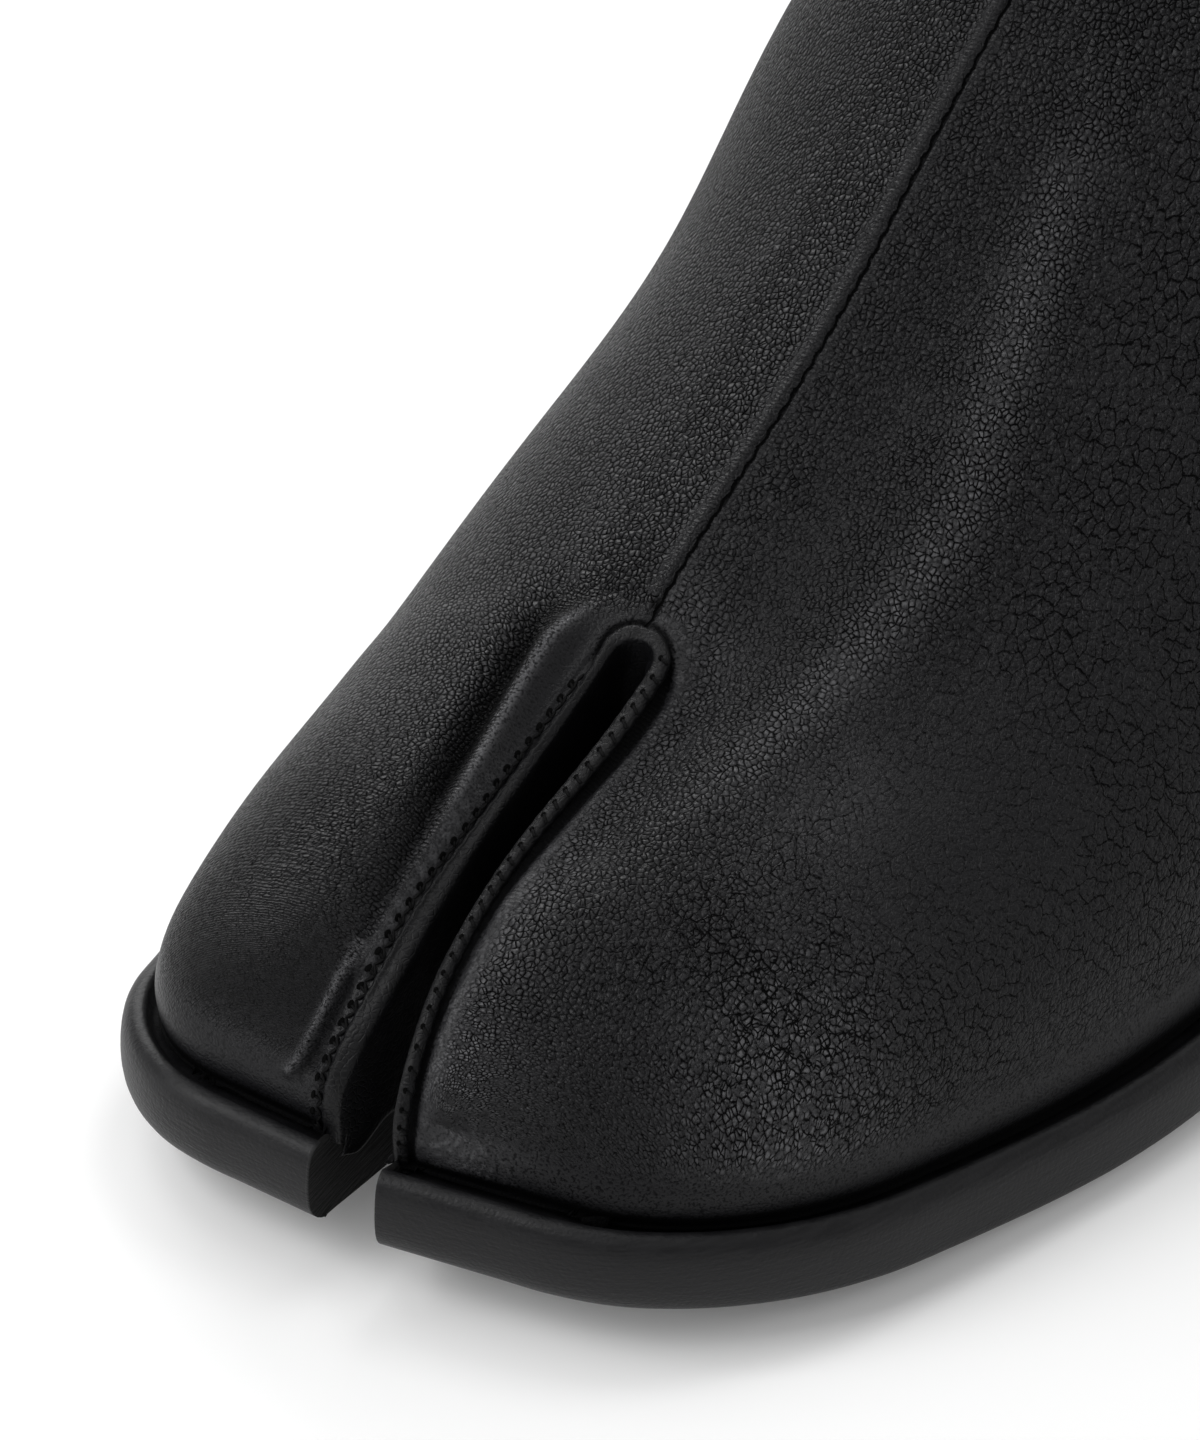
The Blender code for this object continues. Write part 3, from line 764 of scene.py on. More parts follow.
# Gusset: one strip that lines the split, with its top edge turned out over the leather as a lip
gusset = {
    "samples": 260,
    "foldHeight": 23.0,         # up, below this the front edge is found from the front
    "lipRise": (0.34, 0.5),     # on the big toe's side and on the outer toes' side
    "sink": 1.6,                # how far the lip's ends run down behind the rim of the sole
    "probe": (0.6, 1.4),        # how far out over the wall its height and its slope are read
    "frontAlong": 4.0,          # along, where the sole's top is read for the front edge
    "frontRows": 14,
    "frontInset": (0.5, 0.4),   # the front edge's rows keep this far from the sole and from the fold
    "frontFlare": 0.93,         # share of the split's flare where they are first looked for
    "smoothing": 6,             # rounds of smoothing along the rim
    "lean": 0.5,                # how far the wall on the big toe's side leans on into the split
    "leanEnds": (30, 46),
    "outerEdge": 0.08,          # how far the lining stands inside the split on the outer toes' side
    "wallRows": 7,
    "hang": 2.0,                # how far the front end hangs below the top of the sole
    "hangFade": (4.5, 10.5),
    "hangTip": (3.0, 5.4),
    "curl": 0.35,
    "thick": 0.7,
    "pitch": 1.85,              # of the stitches, which pinch the lip
    "pinch": (0.16, 0.2),       # mm off its width, and share of its height
    "dip": [(6, 12), (28, 40)],     # along, where the inner lip is hollow and its edge stands up
}

# How far the rolled lining stands inside the split on the big toe's side: (along, reach)
innerEdge = [(3, 0.8), (7, 1.2), (14, 1.45), (24, 1.3), (33, 0.85), (43, 0.45), (53, 0.35)]


def splitPath():
    # plan points of the split's edge from the big toe's front, round the root, to the outer toes' front
    rows = []
    start = split["root"] - split["half"]
    for along in np.linspace(split["front"], start, 120):
        rows.append((splitLine(along) - splitHalf(along), along, -1.0, 0.0))
    for turn in np.linspace(-math.pi / 2, math.pi / 2, 32)[1:-1]:
        x = splitLine(start) + split["half"] * math.sin(turn)
        rows.append((x, start + split["half"] * math.cos(turn), math.sin(turn), math.cos(turn)))
    for along in np.linspace(start, split["front"], 120):
        rows.append((splitLine(along) + splitHalf(along), along, 1.0, 0.0))
    return np.array(rows)


def frontRun(side):
    # rim points up one front edge of the split, found from the front
    run = []
    near = gusset["probe"][0]
    low = soleTop(gusset["frontAlong"]) + gusset["frontInset"][0]
    for height in np.linspace(low, gusset["foldHeight"] - gusset["frontInset"][1], gusset["frontRows"]):
        x = side * (split["half"] + split["flare"] * gusset["frontFlare"])
        for again in range(3):
            hit, facing = castOn(wallSurface, (x + side * near, shoe["ahead"], height), (0, 1, 0))
            x = splitLine(hit[1]) + side * splitHalf(hit[1])
        tuck = np.clip(1 - (height - soleTop(hit[1])) / upper["tuckHeight"], 0, 1) ** 2
        run.append(((x, hit[1] + upper["tuckDepth"] * tuck, height), facing, (side, 0, 0)))
    (x, along, height), facing, out = run[0]
    return [((x, along, height - gusset["sink"]), facing, out)] + run


def lipTrack():
    # rim points on the frame's wall with the way out over it, evenly spaced
    track = []
    near, far = gusset["probe"]
    for x, along, outX, outY in splitPath():
        spots = [(x + outX * reach, along + outY * reach, shoe["above"]) for reach in (near, far)]
        (hit, facing), (beyond, facing) = [castOn(wallSurface, spot, (0, 0, -1)) for spot in spots]
        if hit is None or beyond is None or hit[2] < gusset["foldHeight"]:
            continue
        height = hit[2] - (beyond[2] - hit[2]) * near / (far - near)
        track.append(((x, along, height), facing, (outX, outY, 0)))
    whole = frontRun(-1) + track + frontRun(1)[::-1]
    points, facing, outward = [np.array([w[k] for w in whole], float) for k in range(3)]
    for values in (points, facing):
        for again in range(gusset["smoothing"]):
            values[1:-1] = (values[:-2] + 2 * values[1:-1] + values[2:]) / 4
    length = lengths(points)
    even = np.linspace(0, length[-1], gusset["samples"])
    spaced = [np.stack([np.interp(even, length, v[:, k]) for k in range(3)], 1)
              for v in (points, facing, outward)]
    return *spaced, even


def trackFrame(track):
    # at each rim point: the way on along the rim, the leather's normal, and the way out over the leather
    points, facing, outward = track[:3]
    run = unit(np.gradient(points, axis=0))
    facing = unit(facing - (facing * run).sum(1)[:, None] * run)
    out = outward - (outward * run).sum(1)[:, None] * run
    return run, facing, unit(out - (out * facing).sum(1)[:, None] * facing)


lip = lipTrack()
lipRun, lipUp, lipOut = trackFrame(lip)
lipSide = fade(lip[2][:, 0], -1.0, 1.0)     # 0 on the big toe's side, 1 on the outer toes' side
lipWidth = flow(innerLip, lip[0][:, 1]) * (1 - lipSide) + flow(outerLip, lip[0][:, 1]) * lipSide
lipEdge = flow(innerEdge, lip[0][:, 1]) * (1 - lipSide) + gusset["outerEdge"] * lipSide
lipRise = gusset["lipRise"][0] * (1 - lipSide) + gusset["lipRise"][1] * lipSide
print("lip track:", round(lip[3][-1], 1), "mm long")


def lipPoint(i, out, rise):
    return lip[0][i] + lipOut[i] * out + lipUp[i] * rise


def halfShares(points):
    # how far each point lies from the front to the root, on its own side of the split
    length = lengths(points)
    apex = int(np.argmax(points[:, 1]))
    inner = length / length[apex]
    outer = 2 - (length[-1] - length) / (length[-1] - length[apex])
    outer = np.maximum(outer, 1)
    return np.where(np.arange(len(points)) <= apex, inner, outer)


def makeGusset():
    plan = splitPath()
    rolled = flow(innerEdge, plan[:, 1]) + gusset["lean"] * (1 - fade(plan[:, 1], *gusset["leanEnds"]))
    inset = np.where(plan[:, 2] < 0, rolled, gusset["outerEdge"])[:, None]
    plan[:, :2] -= plan[:, 2:] * inset
    planShare, rimShare = halfShares(plan[:, :2]), halfShares(lip[0])
    rows = []
    for i in range(gusset["samples"]):
        pinch = 0.5 + 0.5 * math.cos(2 * math.pi * lip[3][i] / gusset["pitch"])
        width, edge = lipWidth[i] - gusset["pinch"][0] * pinch, lipEdge[i]
        rise = lipRise[i] * (1 - gusset["pinch"][1] * pinch)
        dip = (1 - lipSide[i]) * span(lip[0][i][1], *gusset["dip"])
        # out over the leather and up, from the lip's foot to its edge inside the split
        profile = [(width - 0.02, -0.6), (width + 0.04, -0.1), (width - 0.08, rise * 0.45),
                   (width - 0.3, rise * 0.95), (width * 0.45, rise * (1.2 - dip)),
                   (0.1 - 0.3 * edge * dip, rise * (0.92 + 0.6 * dip)),
                   (-edge * 0.65, rise * (0.6 + 0.5 * dip)), (-edge, rise * 0.05)]
        row = [lipPoint(i, out, up) for out, up in profile]
        start = lipPoint(i, 0, -0.6) - lip[2][i] / max(np.linalg.norm(lip[2][i]), 0.2) * edge
        x, along = [np.interp(rimShare[i], planShare, plan[:, k]) for k in (0, 1)]
        hang = gusset["hang"] * (1 - fade(along, *gusset["hangFade"])) * (1 - lipSide[i])
        hang *= 0.6 + 0.4 * fade(along, *gusset["hangTip"])
        bottom = np.array((x, along, soleTop(along) - 0.2 - hang))
        inward = -np.sign(x - splitLine(along)) * gusset["curl"] * hang / gusset["hang"]
        for t in np.linspace(0, 1, gusset["wallRows"] + 1)[1:]:
            row.append(start + (bottom - start) * t + (inward * fade(t, 0.6, 1.0), 0, 0))
        rows.append(row)
    piece = gridPiece("toe_gusset", rows)
    faceOut(piece)
    lipTops = faceMiddles(piece)[1].reshape(gusset["samples"] - 1, -1, 3)[:, 3:5, 2]
    if lipTops.mean() < 0:
        editFaces(piece)
        bpy.ops.mesh.flip_normals()
        closeEdit()
    applyModifier(piece, "SOLIDIFY", thickness=gusset["thick"] / 1000, offset=-1)
    smoothOut(piece, 1)
    pick(piece)
    bpy.ops.object.shade_smooth()
    return piece


gussetPiece = makeGusset()
print("gusset made:", len(gussetPiece.data.polygons), "faces")


# Stitches that hold the lip: a whip stitch on the big toe's side, holes and legs on the other; the holes are
# dark dots of painted shade
def lipAt(place, out, rise):
    # a point on the lip: how far along its track, how far out over the leather, and how high
    spot = [np.interp(place, lip[3], values[:, k]) for values in (lip[0], lipOut, lipUp) for k in range(3)]
    spot = np.array(spot).reshape(3, 3)
    return spot[0] + spot[1] * out + spot[2] * rise, unit(spot[2])


def onLeather(point, lift):
    hit, facing = leatherSurface.find_nearest(Vector(toFrame(point)[0]))[:2]
    return toRule(hit)[0] + np.array(facing) * lift, np.array(facing)


def copyAlong(template, spots, name):
    # one joined copy of the template for each spot: its middle, and its half sizes along, aside and up
    shape = corners(template)
    copies = []
    for middle, run, side, up in spots:
        copy = template.copy()
        copy.data = template.data.copy()
        bpy.context.scene.collection.objects.link(copy)
        if np.dot(np.cross(side, up), run) < 0:
            side = -side
        moveTo(copy, toFrame(middle + shape[:, 2:] * run + shape[:, :1] * side + shape[:, 1:2] * up))
        copies.append(copy)
    bpy.data.objects.remove(template)
    pick(copies[0])
    for copy in copies:
        copy.select_set(True)
    bpy.ops.object.join()
    copies[0].name = name
    bpy.ops.object.shade_smooth()
    return copies[0]


def legSpot(first, second, up, thick):
    # a length of thread lying between two points
    run = (second - first) / 2
    side = unit(np.cross(up, run)) * thick
    rise = unit(np.cross(run, side)) * thick
    return (first + second) / 2, run * stitch["overlap"], side, rise


def holeSpot(point, up, run, size):
    side = unit(np.cross(up, run))
    long, wide = stitch["holeShape"]
    return point, np.cross(side, up) * size * long, side * size * wide, up * stitch["holeRise"]


def stitchSpots():
    legs, holes = [], []
    pitch, inner, outer = gusset["pitch"], stitch["inner"], stitch["outer"]
    for place in np.arange(pitch / 2, lip[3][-1], pitch):
        i = int(np.searchsorted(lip[3], place))
        along, width, run = lip[0][i][1], lipWidth[i], lipRun[i]
        if lipSide[i] < 0.2 and stitch["front"] < along < inner["back"]:
            # by way of the sag to the next stitch, and a leg out over the leather
            rough = 1 - fade(along, *inner["rough"])
            start = width + inner["start"]
            reach = width + inner["leg"] * np.dot(inner["roughLeg"], (1, rough))
            sag = width + inner["sag"] + inner["roughSag"] * rough
            out, up = onLeather(lipAt(place + inner["lean"], reach, 0)[0], inner["lift"][1])
            line = ((place, start), (place + pitch * 0.5, sag), (place + pitch, start))
            first, half, last = [onLeather(lipAt(*spot, 0)[0], inner["lift"][0]) for spot in line]
            for ends in ((first, half), (half, last), (first, (out, up))):
                legs.append(legSpot(ends[0][0], ends[1][0], last[1], stitch["thread"][0]))
            holes.append(holeSpot(out, last[1], run, stitch["hole"][0]))
        if lipSide[i] > 0.8 and stitch["front"] < along < outer["back"]:
            high, low = [lipRise[i] * share for share in outer["rise"]]
            sway = outer["sway"] * math.sin(outer["swayTurn"] * place)
            near, up = lipAt(place + sway, width * outer["row"], high)
            far, up = lipAt(place + outer["lean"], width - outer["foot"], low)
            legs.append(legSpot(near, far, up, stitch["thread"][1]))
            holes.append(holeSpot(near + up * 0.02, up, run, stitch["hole"][1]))
    return legs, holes


def makeStitches():
    made = []
    for spots, name in zip(stitchSpots(), ("lip_thread", "needle_holes")):
        bpy.ops.object.select_all(action="DESELECT")
        bpy.ops.mesh.primitive_uv_sphere_add(segments=8, ring_count=6, radius=1)
        made.append(copyAlong(bpy.context.object, spots, name))
    return made


threadPiece, holePiece = makeStitches()
print("stitches made:", len(threadPiece.data.polygons), "and", len(holePiece.data.polygons), "faces")

# Sole: the frame's outline, swept with a finer edge
sole = {
    "step": 0.9,                # spacing round the outline
    "topIn": 1.5,               # how far the frame's top edge lies inside its widest line
    "slotReach": 4.2,           # the slot's walls lie inside this, across
    "slotEnds": 40.0,           # and ahead of this, along
    "corner": 0.25,             # rounding of the slot's corners
    "cornerAngle": 55,
    "smoothAngle": 42,
    # share of the thickness from the top, how far in from the widest line, how far in from the slot's walls
    "edge": [(0.13, 7.0, 3.8), (0.13, 4.8, 2.0), (0.12, 3.3, 1.1), (0.08, 2.8, 0.9), (0.03, 2.5, 0.7),
             (0.005, 2.25, 0.4), (0, 2.0, 0), (0.008, 1.6, 0), (0.028, 1.2, 0), (0.06, 0.82, 0),
             (0.11, 0.48, 0), (0.18, 0.24, 0), (0.27, 0.1, 0), (0.38, 0.02, 0), (0.5, 0, 0),
             (0.62, 0.06, 0), (0.73, 0.22, 0), (0.82, 0.5, 0), (0.89, 0.92, 0), (0.945, 1.45, 0),
             (0.98, 2.0, 0), (1, 2.6, 0), (1, 4.2, 1.3), (1, 6.8, 3.4)],
}


def outlineOf(node):
    # outline of a node's top, once round
    piece = copyNode(node, "outline", paired=False)
    editFaces(piece, faceMiddles(piece)[1][:, 2] > 0.9)
    bpy.ops.mesh.region_to_loop()
    closeEdit()
    joined = {}
    for edge in piece.data.edges:
        if edge.select:
            for first, second in (edge.vertices, reversed(edge.vertices)):
                joined.setdefault(first, []).append(second)
    loop = [min(joined)]
    loop.append(joined[loop[0]][0])
    while len(loop) < len(joined):
        loop.append([v for v in joined[loop[-1]] if v != loop[-2]][0])
    points = toRule([piece.data.vertices[v].co for v in loop])
    bpy.data.objects.remove(piece)
    return points[:, :2]


def soleRuns(points):
    # the outer edge from the outer toes' corner round the heel to the big toe's, and the slot's wall back
    near = (np.abs(points[:, 0]) < sole["slotReach"]) & (points[:, 1] < sole["slotEnds"])
    sides = [np.flatnonzero(near & (points[:, 0] * side > 0)) for side in (-1, 1)]
    front = [min(found, key=lambda i: points[i, 1]) for found in sides]
    points = np.roll(points, -front[1], axis=0)
    inner = (front[0] - front[1]) % len(points)
    if inner < len(points) / 2:
        points = np.roll(points[::-1], 1, axis=0)
        inner = len(points) - inner
    return points[:inner + 1], np.vstack([points[inner:], points[:1]])


def evenRun(points):
    length = lengths(points)
    places = np.linspace(0, length[-1], int(length[-1] / sole["step"]) + 1)
    return np.stack([flow(list(zip(length, points[:, k])), places) for k in (0, 1)], 1)


def outwardOf(run):
    ahead = unit(np.gradient(run, axis=0))
    return np.stack([ahead[:, 1], -ahead[:, 0]], 1)


def soleRing(edge, wall, edgeOut, wallOut, drawIn, wallIn):
    # one ring of the sole: the edge steps in from its widest line, the slot's wall follows at its front
    ring = edge + edgeOut * (sole["topIn"] - drawIn)
    shift = {side: ring[i] - edge[i] for side, i in ((1, 0), (-1, -1))}
    ring[0] -= wallOut[-1] * wallIn
    ring[-1] -= wallOut[0] * wallIn
    root, front = wall[:, 1].max(), wall[:, 1].min()
    share = ((root - wall[:, 1]) / (root - front)).clip(0, 1)[:, None]
    outerToes = wall[:, :1] > splitLine(sole["slotEnds"])
    moved = wall + np.where(outerToes, shift[1], shift[-1]) * share - wallOut * wallIn
    return np.vstack([ring, moved[1:-1]])


def makeSole():
    edge, wall = [evenRun(run) for run in soleRuns(outlineOf("outsole"))]
    edgeOut, wallOut = outwardOf(edge), outwardOf(wall)
    if ((edge - edge.mean(0)) * edgeOut).sum() < 0:
        edgeOut, wallOut = -edgeOut, -wallOut
    rings = []
    for share, drawIn, wallIn in sole["edge"]:
        ring = soleRing(edge, wall, edgeOut, wallOut, drawIn, wallIn)
        height = soleTop(ring[:, 1]) * (1 - share) + soleBottom(ring[:, 1]) * share
        rings.append(np.column_stack([ring, height]))
    rows = np.array(rings).transpose(1, 0, 2)
    rows = np.concatenate([rows, rows[:1]])
    piece = gridPiece("outsole_edge", rows)
    slotWall = np.zeros(rows.shape[:2])
    slotWall[len(edge) - 1:-1] = 1
    note(piece, "slotWall", slotWall.ravel())
    note(piece, "share", np.tile([share for share, drawIn, wallIn in sole["edge"]], rows.shape[0]))
    editFaces(piece)
    bpy.ops.mesh.remove_doubles(threshold=same)
    closeEdit()
    closeRings(piece)
    roundEdges(piece, sole["corner"], sole["cornerAngle"])
    pick(piece)
    bpy.ops.object.shade_smooth_by_angle(angle=math.radians(sole["smoothAngle"]))
    return piece


def closeRings(piece):
    # fills the open ring on top, then the one below
    for onTop in (True, False):
        editEdges(piece)
        bpy.ops.mesh.select_non_manifold(use_wire=False, use_multi_face=False, use_non_contiguous=False,
                                         use_verts=False)
        closeEdit()
        rule = toRule(corners(piece))
        middle = (soleTop(rule[:, 1]) + soleBottom(rule[:, 1])) / 2
        above = rule[:, 2] > middle
        chosen = [e.select and bool(above[e.vertices[0]]) == onTop for e in piece.data.edges]
        piece.data.vertices.foreach_set("select", np.zeros(len(piece.data.vertices), bool))
        piece.data.edges.foreach_set("select", chosen)
        bpy.ops.object.mode_set(mode="EDIT")
        bpy.ops.mesh.fill(use_beauty=True)
        closeEdit()
    faceOut(piece)


# Heel and insole: the frame's own shapes with softened edges
lower = {
    "heel": {"node": "heel", "name": "heel_block", "hold": 25, "levels": 2, "bevel": 0.4, "topPiece": 5.5},
    "insole": {"node": "insole", "name": "sock_insole", "hold": 25, "levels": 2, "bevel": 0.4},
}


def makeLower(settings):
    piece = copyNode(settings["node"], settings["name"])
    holdEdges(piece, settings["hold"])
    smoothOut(piece, settings["levels"])
    roundEdges(piece, settings["bevel"], settings["hold"] - 5)
    pick(piece)
    bpy.ops.object.shade_smooth()
    return piece


solePiece = makeSole()
heelPiece = makeLower(lower["heel"])
insolePiece = makeLower(lower["insole"])
print("sole, heel and insole made")


# Materials: nodes are filled by the names or the places of their sockets
def fill(tree, node, sockets):
    for key, value in sockets.items():
        socket = node.inputs[key]
        if isinstance(value, bpy.types.NodeSocket):
            tree.links.new(value, socket)
        else:
            socket.default_value = (*value, 1) if socket.type == "RGBA" else value


def addNode(tree, kind, sockets=None, **settings):
    node = tree.nodes.new(kind)
    for key, value in settings.items():
        setattr(node, key, value)
    fill(tree, node, sockets or {})
    return node


def newMaterial(name, color, roughness, specular):
    material = bpy.data.materials.new(name)
    material.use_nodes = True
    tree = material.node_tree
    shader = tree.nodes["Principled BSDF"]
    fill(tree, shader, {"Base Color": color, "Roughness": roughness, "Specular IOR Level": specular})
    return material, tree, shader


def calc(tree, operation, *values):
    return addNode(tree, "ShaderNodeMath", dict(enumerate(values)), operation=operation).outputs[0]


def times(tree, first, *others):
    for other in others:
        first = calc(tree, "MULTIPLY", first, other)
    return first


def addUp(tree, amounts, parts):
    # the parts added up, each by its own amount
    total = 0.0
    for name, amount in amounts.items():
        total = calc(tree, "MULTIPLY_ADD", parts[name], amount, total)
    return total


def wave(tree, value, pitch):
    return calc(tree, "SINE", calc(tree, "MULTIPLY", value, 2 * math.pi / pitch))


def softStep(tree, value, low, high, start=0.0, end=1.0):
    sockets = {"Value": value, "From Min": low, "From Max": high, "To Min": start, "To Max": end}
    return addNode(tree, "ShaderNodeMapRange", sockets, interpolation_type="SMOOTHSTEP").outputs[0]


def noted(tree, name):
    return addNode(tree, "ShaderNodeAttribute", attribute_name=name).outputs["Fac"]


def millimetres(tree, stretch=(1, 1, 1)):
    place = addNode(tree, "ShaderNodeTexCoord").outputs["Object"]
    sockets = {"Vector": place, "Scale": [1000 * s for s in stretch]}
    return addNode(tree, "ShaderNodeMapping", sockets).outputs[0]


def noise(tree, place, scale, detail):
    return addNode(tree, "ShaderNodeTexNoise", {"Vector": place, "Scale": scale, "Detail": detail})


def cloud(tree, place, scale, detail=3.0):
    return noise(tree, place, scale, detail).outputs["Fac"]


def wander(tree, place, scale, amount):
    sockets = {0: noise(tree, place, scale, 1.0).outputs["Color"], 1: (amount, amount, amount), 2: place}
    return addNode(tree, "ShaderNodeVectorMath", sockets, operation="MULTIPLY_ADD").outputs[0]


def cellDistances(tree, place, scale, sides="3D"):
    # distance to the nearest cell's middle, and to its edge
    sockets = {"Vector": place, "Scale": scale}
    return [addNode(tree, "ShaderNodeTexVoronoi", sockets, voronoi_dimensions=sides, feature=feature)
            .outputs["Distance"] for feature in ("F1", "DISTANCE_TO_EDGE")]


def blendColor(tree, share, first, second):
    # places 6 and 7 are the mix's two colours
    return addNode(tree, "ShaderNodeMix", {0: share, 6: first, 7: second}, data_type="RGBA").outputs[2]


def bumpInto(tree, shader, height, depth):
    bump = addNode(tree, "ShaderNodeBump", {"Height": height, "Distance": depth / 1000, "Strength": 1.0})
    fill(tree, shader, {"Normal": bump.outputs[0]})


leather = {
    "color": (0.0066, 0.0066, 0.0077),
    # the crack colour and the shade tint paint shade into the cracks and hollows
    "crackColor": (0.0012, 0.0012, 0.0014),
    "rubAndHighlightColor": (0.1, 0.1, 0.105),          # worn crests of the folds, and painted highlights on the cells' tops and sheens
    "roughness": (0.36, 0.62),              # on the cells and in the cracks between them
    "specular": 0.2,
    "shadeShineTint": (0.08, 0.08, 0.08),         # of the shine in the cracks and hollows, painted shade
    "clouds": (0.13, 1.2, 3.6),             # to the millimetre: blotches, specks and the finest
    "pebble": 1.72,                         # cells to the millimetre
    "cracks": (0.02, 0.17),                 # from the cells' edges
    "crackle": (0.86, 0.58, 1.0),           # cells to the millimetre of the long cracks, across and along
    "crackleTurn": -18.0,
    "longCracks": (0.012, 0.08),
    "rib": 0.46,                            # pitch of the fine puckers
    "seamPitch": 1.9,                       # of the stitches that draw the seam in
    "collarStitch": (2.6, 2.8),             # depth below the edge, and pitch
    "depth": 0.22,
    # how much each part raises the surface, and how much it darkens it; the darkening of pits, cracks,
    # hollows and pucker valleys is painted shade
    "heights": {"dome": 0.55, "fine": 0.5, "pit": -0.9, "cracked": -1.2, "ribs": 0.6, "line": 2.0,
                "second": 0.5},
    "darks": {"pit": 0.8, "cracked": 0.9, "fine": 0.42, "line": 1.0, "hollow": 1.0, "ribs": 0.45},
}


def leatherMaterial():
    color, roughness = leather["color"], leather["roughness"]
    material, tree, shader = newMaterial("black_leather", color, roughness[0], leather["specular"])
    place = millimetres(tree)
    sockets = {"X": noted(tree, "flatAcross"), "Y": noted(tree, "flatAlong")}
    laid = addNode(tree, "ShaderNodeCombineXYZ", sockets).outputs[0]
    loose = wander(tree, laid, 1.0, 0.55)
    near, gap = cellDistances(tree, loose, leather["pebble"], "2D")
    blotches, specks, fine = [cloud(tree, place, scale, 2.0) for scale in leather["clouds"]]
    # cells with thin broken cracks between them
    grain = times(tree, noted(tree, "grain"), softStep(tree, blotches, 0.35, 0.6, 0.8, 1.1))
    broken = softStep(tree, specks, 0.36, 0.56, 0.3, 1.0)
    pit = times(tree, softStep(tree, gap, *leather["cracks"], 1.0, 0.0), broken, grain)
    dome = times(tree, softStep(tree, near, 0.75, 0.15), grain)
    # long cracks, on a wider net that is drawn out along the shoe and broken in patches
    sockets = {"Vector": wander(tree, wander(tree, laid, 0.5, 1.0), 2.2, 0.45), "Scale": leather["crackle"],
               "Rotation": (0, 0, math.radians(leather["crackleTurn"]))}
    turned = addNode(tree, "ShaderNodeMapping", sockets).outputs[0]
    net = cellDistances(tree, turned, 1.0, "2D")[1]
    cracked = times(tree, noted(tree, "crackle"), softStep(tree, blotches, 0.38, 0.52, 0.5, 1.0),
                    softStep(tree, specks, 0.3, 0.46, 0.2, 1.0),
                    softStep(tree, net, *leather["longCracks"], 1.0, 0.0))
    # fine puckers at the folds and beside the seam
    axes = addNode(tree, "ShaderNodeSeparateXYZ", {0: loose})
    rib = wave(tree, axes.outputs["Y"], leather["rib"])
    pucker = times(tree, noted(tree, "pucker"), softStep(tree, fine, 0.3, 0.55))
    # the seam is a fine dark line with a fainter one beside it, and the back seam is a line too
    beside = calc(tree, "MULTIPLY_ADD", fine, 0.4, calc(tree, "SUBTRACT", noted(tree, "seamAcross"), 0.2))
    beat = wave(tree, noted(tree, "seamAlong"), leather["seamPitch"])
    beside = calc(tree, "MULTIPLY_ADD", beat, 0.08, beside)
    line = softStep(tree, calc(tree, "ABSOLUTE", beside), 0.05, 0.19)
    second = softStep(tree, calc(tree, "ABSOLUTE", calc(tree, "ADD", beside, 1.3)), 0.05, 0.45)
    backLine = softStep(tree, calc(tree, "ABSOLUTE", noted(tree, "backAcross")), 0.06, 0.3)
    # a row of stitches follows the collar's edge
    rowDepth, rowPitch = leather["collarStitch"]
    off = calc(tree, "ABSOLUTE", calc(tree, "SUBTRACT", noted(tree, "collarDepth"), rowDepth))
    dash = softStep(tree, wave(tree, noted(tree, "seamAlong"), rowPitch), -0.75, -0.45, 0.35, 1.0)
    row = times(tree, softStep(tree, off, 0.5, 0.12), dash)
    line = calc(tree, "SUBTRACT", times(tree, line, backLine), row)
    raised = {"dome": dome, "fine": fine, "pit": pit, "cracked": cracked, "ribs": times(tree, rib, pucker),
              "line": line, "second": second}
    bumpInto(tree, shader, addUp(tree, leather["heights"], raised), leather["depth"])
    # painted shade: the pits, cracks, hollows and pucker valleys are darker and duller
    between = calc(tree, "SUBTRACT", 0.5, times(tree, rib, 0.5))
    darkened = {"pit": pit, "cracked": cracked, "fine": softStep(tree, fine, 0.5, 0.36),
                "line": calc(tree, "SUBTRACT", 1.0, line), "hollow": noted(tree, "hollow"),
                "ribs": times(tree, between, pucker)}
    dark = addUp(tree, leather["darks"], darkened)
    share = softStep(tree, dark, 0.0, 1.0)
    # painted highlight and painted glints: the tops of the cells are lighter, and the worn crests of the
    # folds are lighter too
    worn = times(tree, noted(tree, "wearAndSheen"), softStep(tree, fine, 0.3, 0.6))
    glint = times(tree, softStep(tree, near, 0.6, 0.2), softStep(tree, specks, 0.4, 0.62))
    paintedHighlight = times(tree, noted(tree, "paintedHighlight"), calc(tree, "MULTIPLY_ADD", glint, 0.7, 0.25))
    worn = blendColor(tree, calc(tree, "ADD", paintedHighlight, worn), color, leather["rubAndHighlightColor"])
    fill(tree, shader, {
        "Base Color": blendColor(tree, share, worn, leather["crackColor"]),
        "Specular Tint": blendColor(tree, share, (1, 1, 1), leather["shadeShineTint"]),
        "Roughness": softStep(tree, dark, 0.0, 1.0, *roughness),
    })
    return material


def mottle(tree, shader, share, color, dark, pale):
    # the colour varies between a darker and a paler shade
    shades = [[shade * c for c in color] for shade in (dark, pale)]
    fill(tree, shader, {"Base Color": blendColor(tree, share, *shades)})


def plainLeather(name, color, roughness, depth, scale):
    material, tree, shader = newMaterial(name, color, roughness, leather["specular"] * 0.9)
    place = millimetres(tree)
    gap = cellDistances(tree, wander(tree, place, 0.8, 0.8), scale)[1]
    worn = cloud(tree, place, 0.5)
    height = calc(tree, "MULTIPLY_ADD", worn, 1.5, softStep(tree, gap, 0.0, 0.2))
    bumpInto(tree, shader, height, depth)
    mottle(tree, shader, softStep(tree, worn, 0.35, 0.65), color, 0.75, 1.2)
    return material


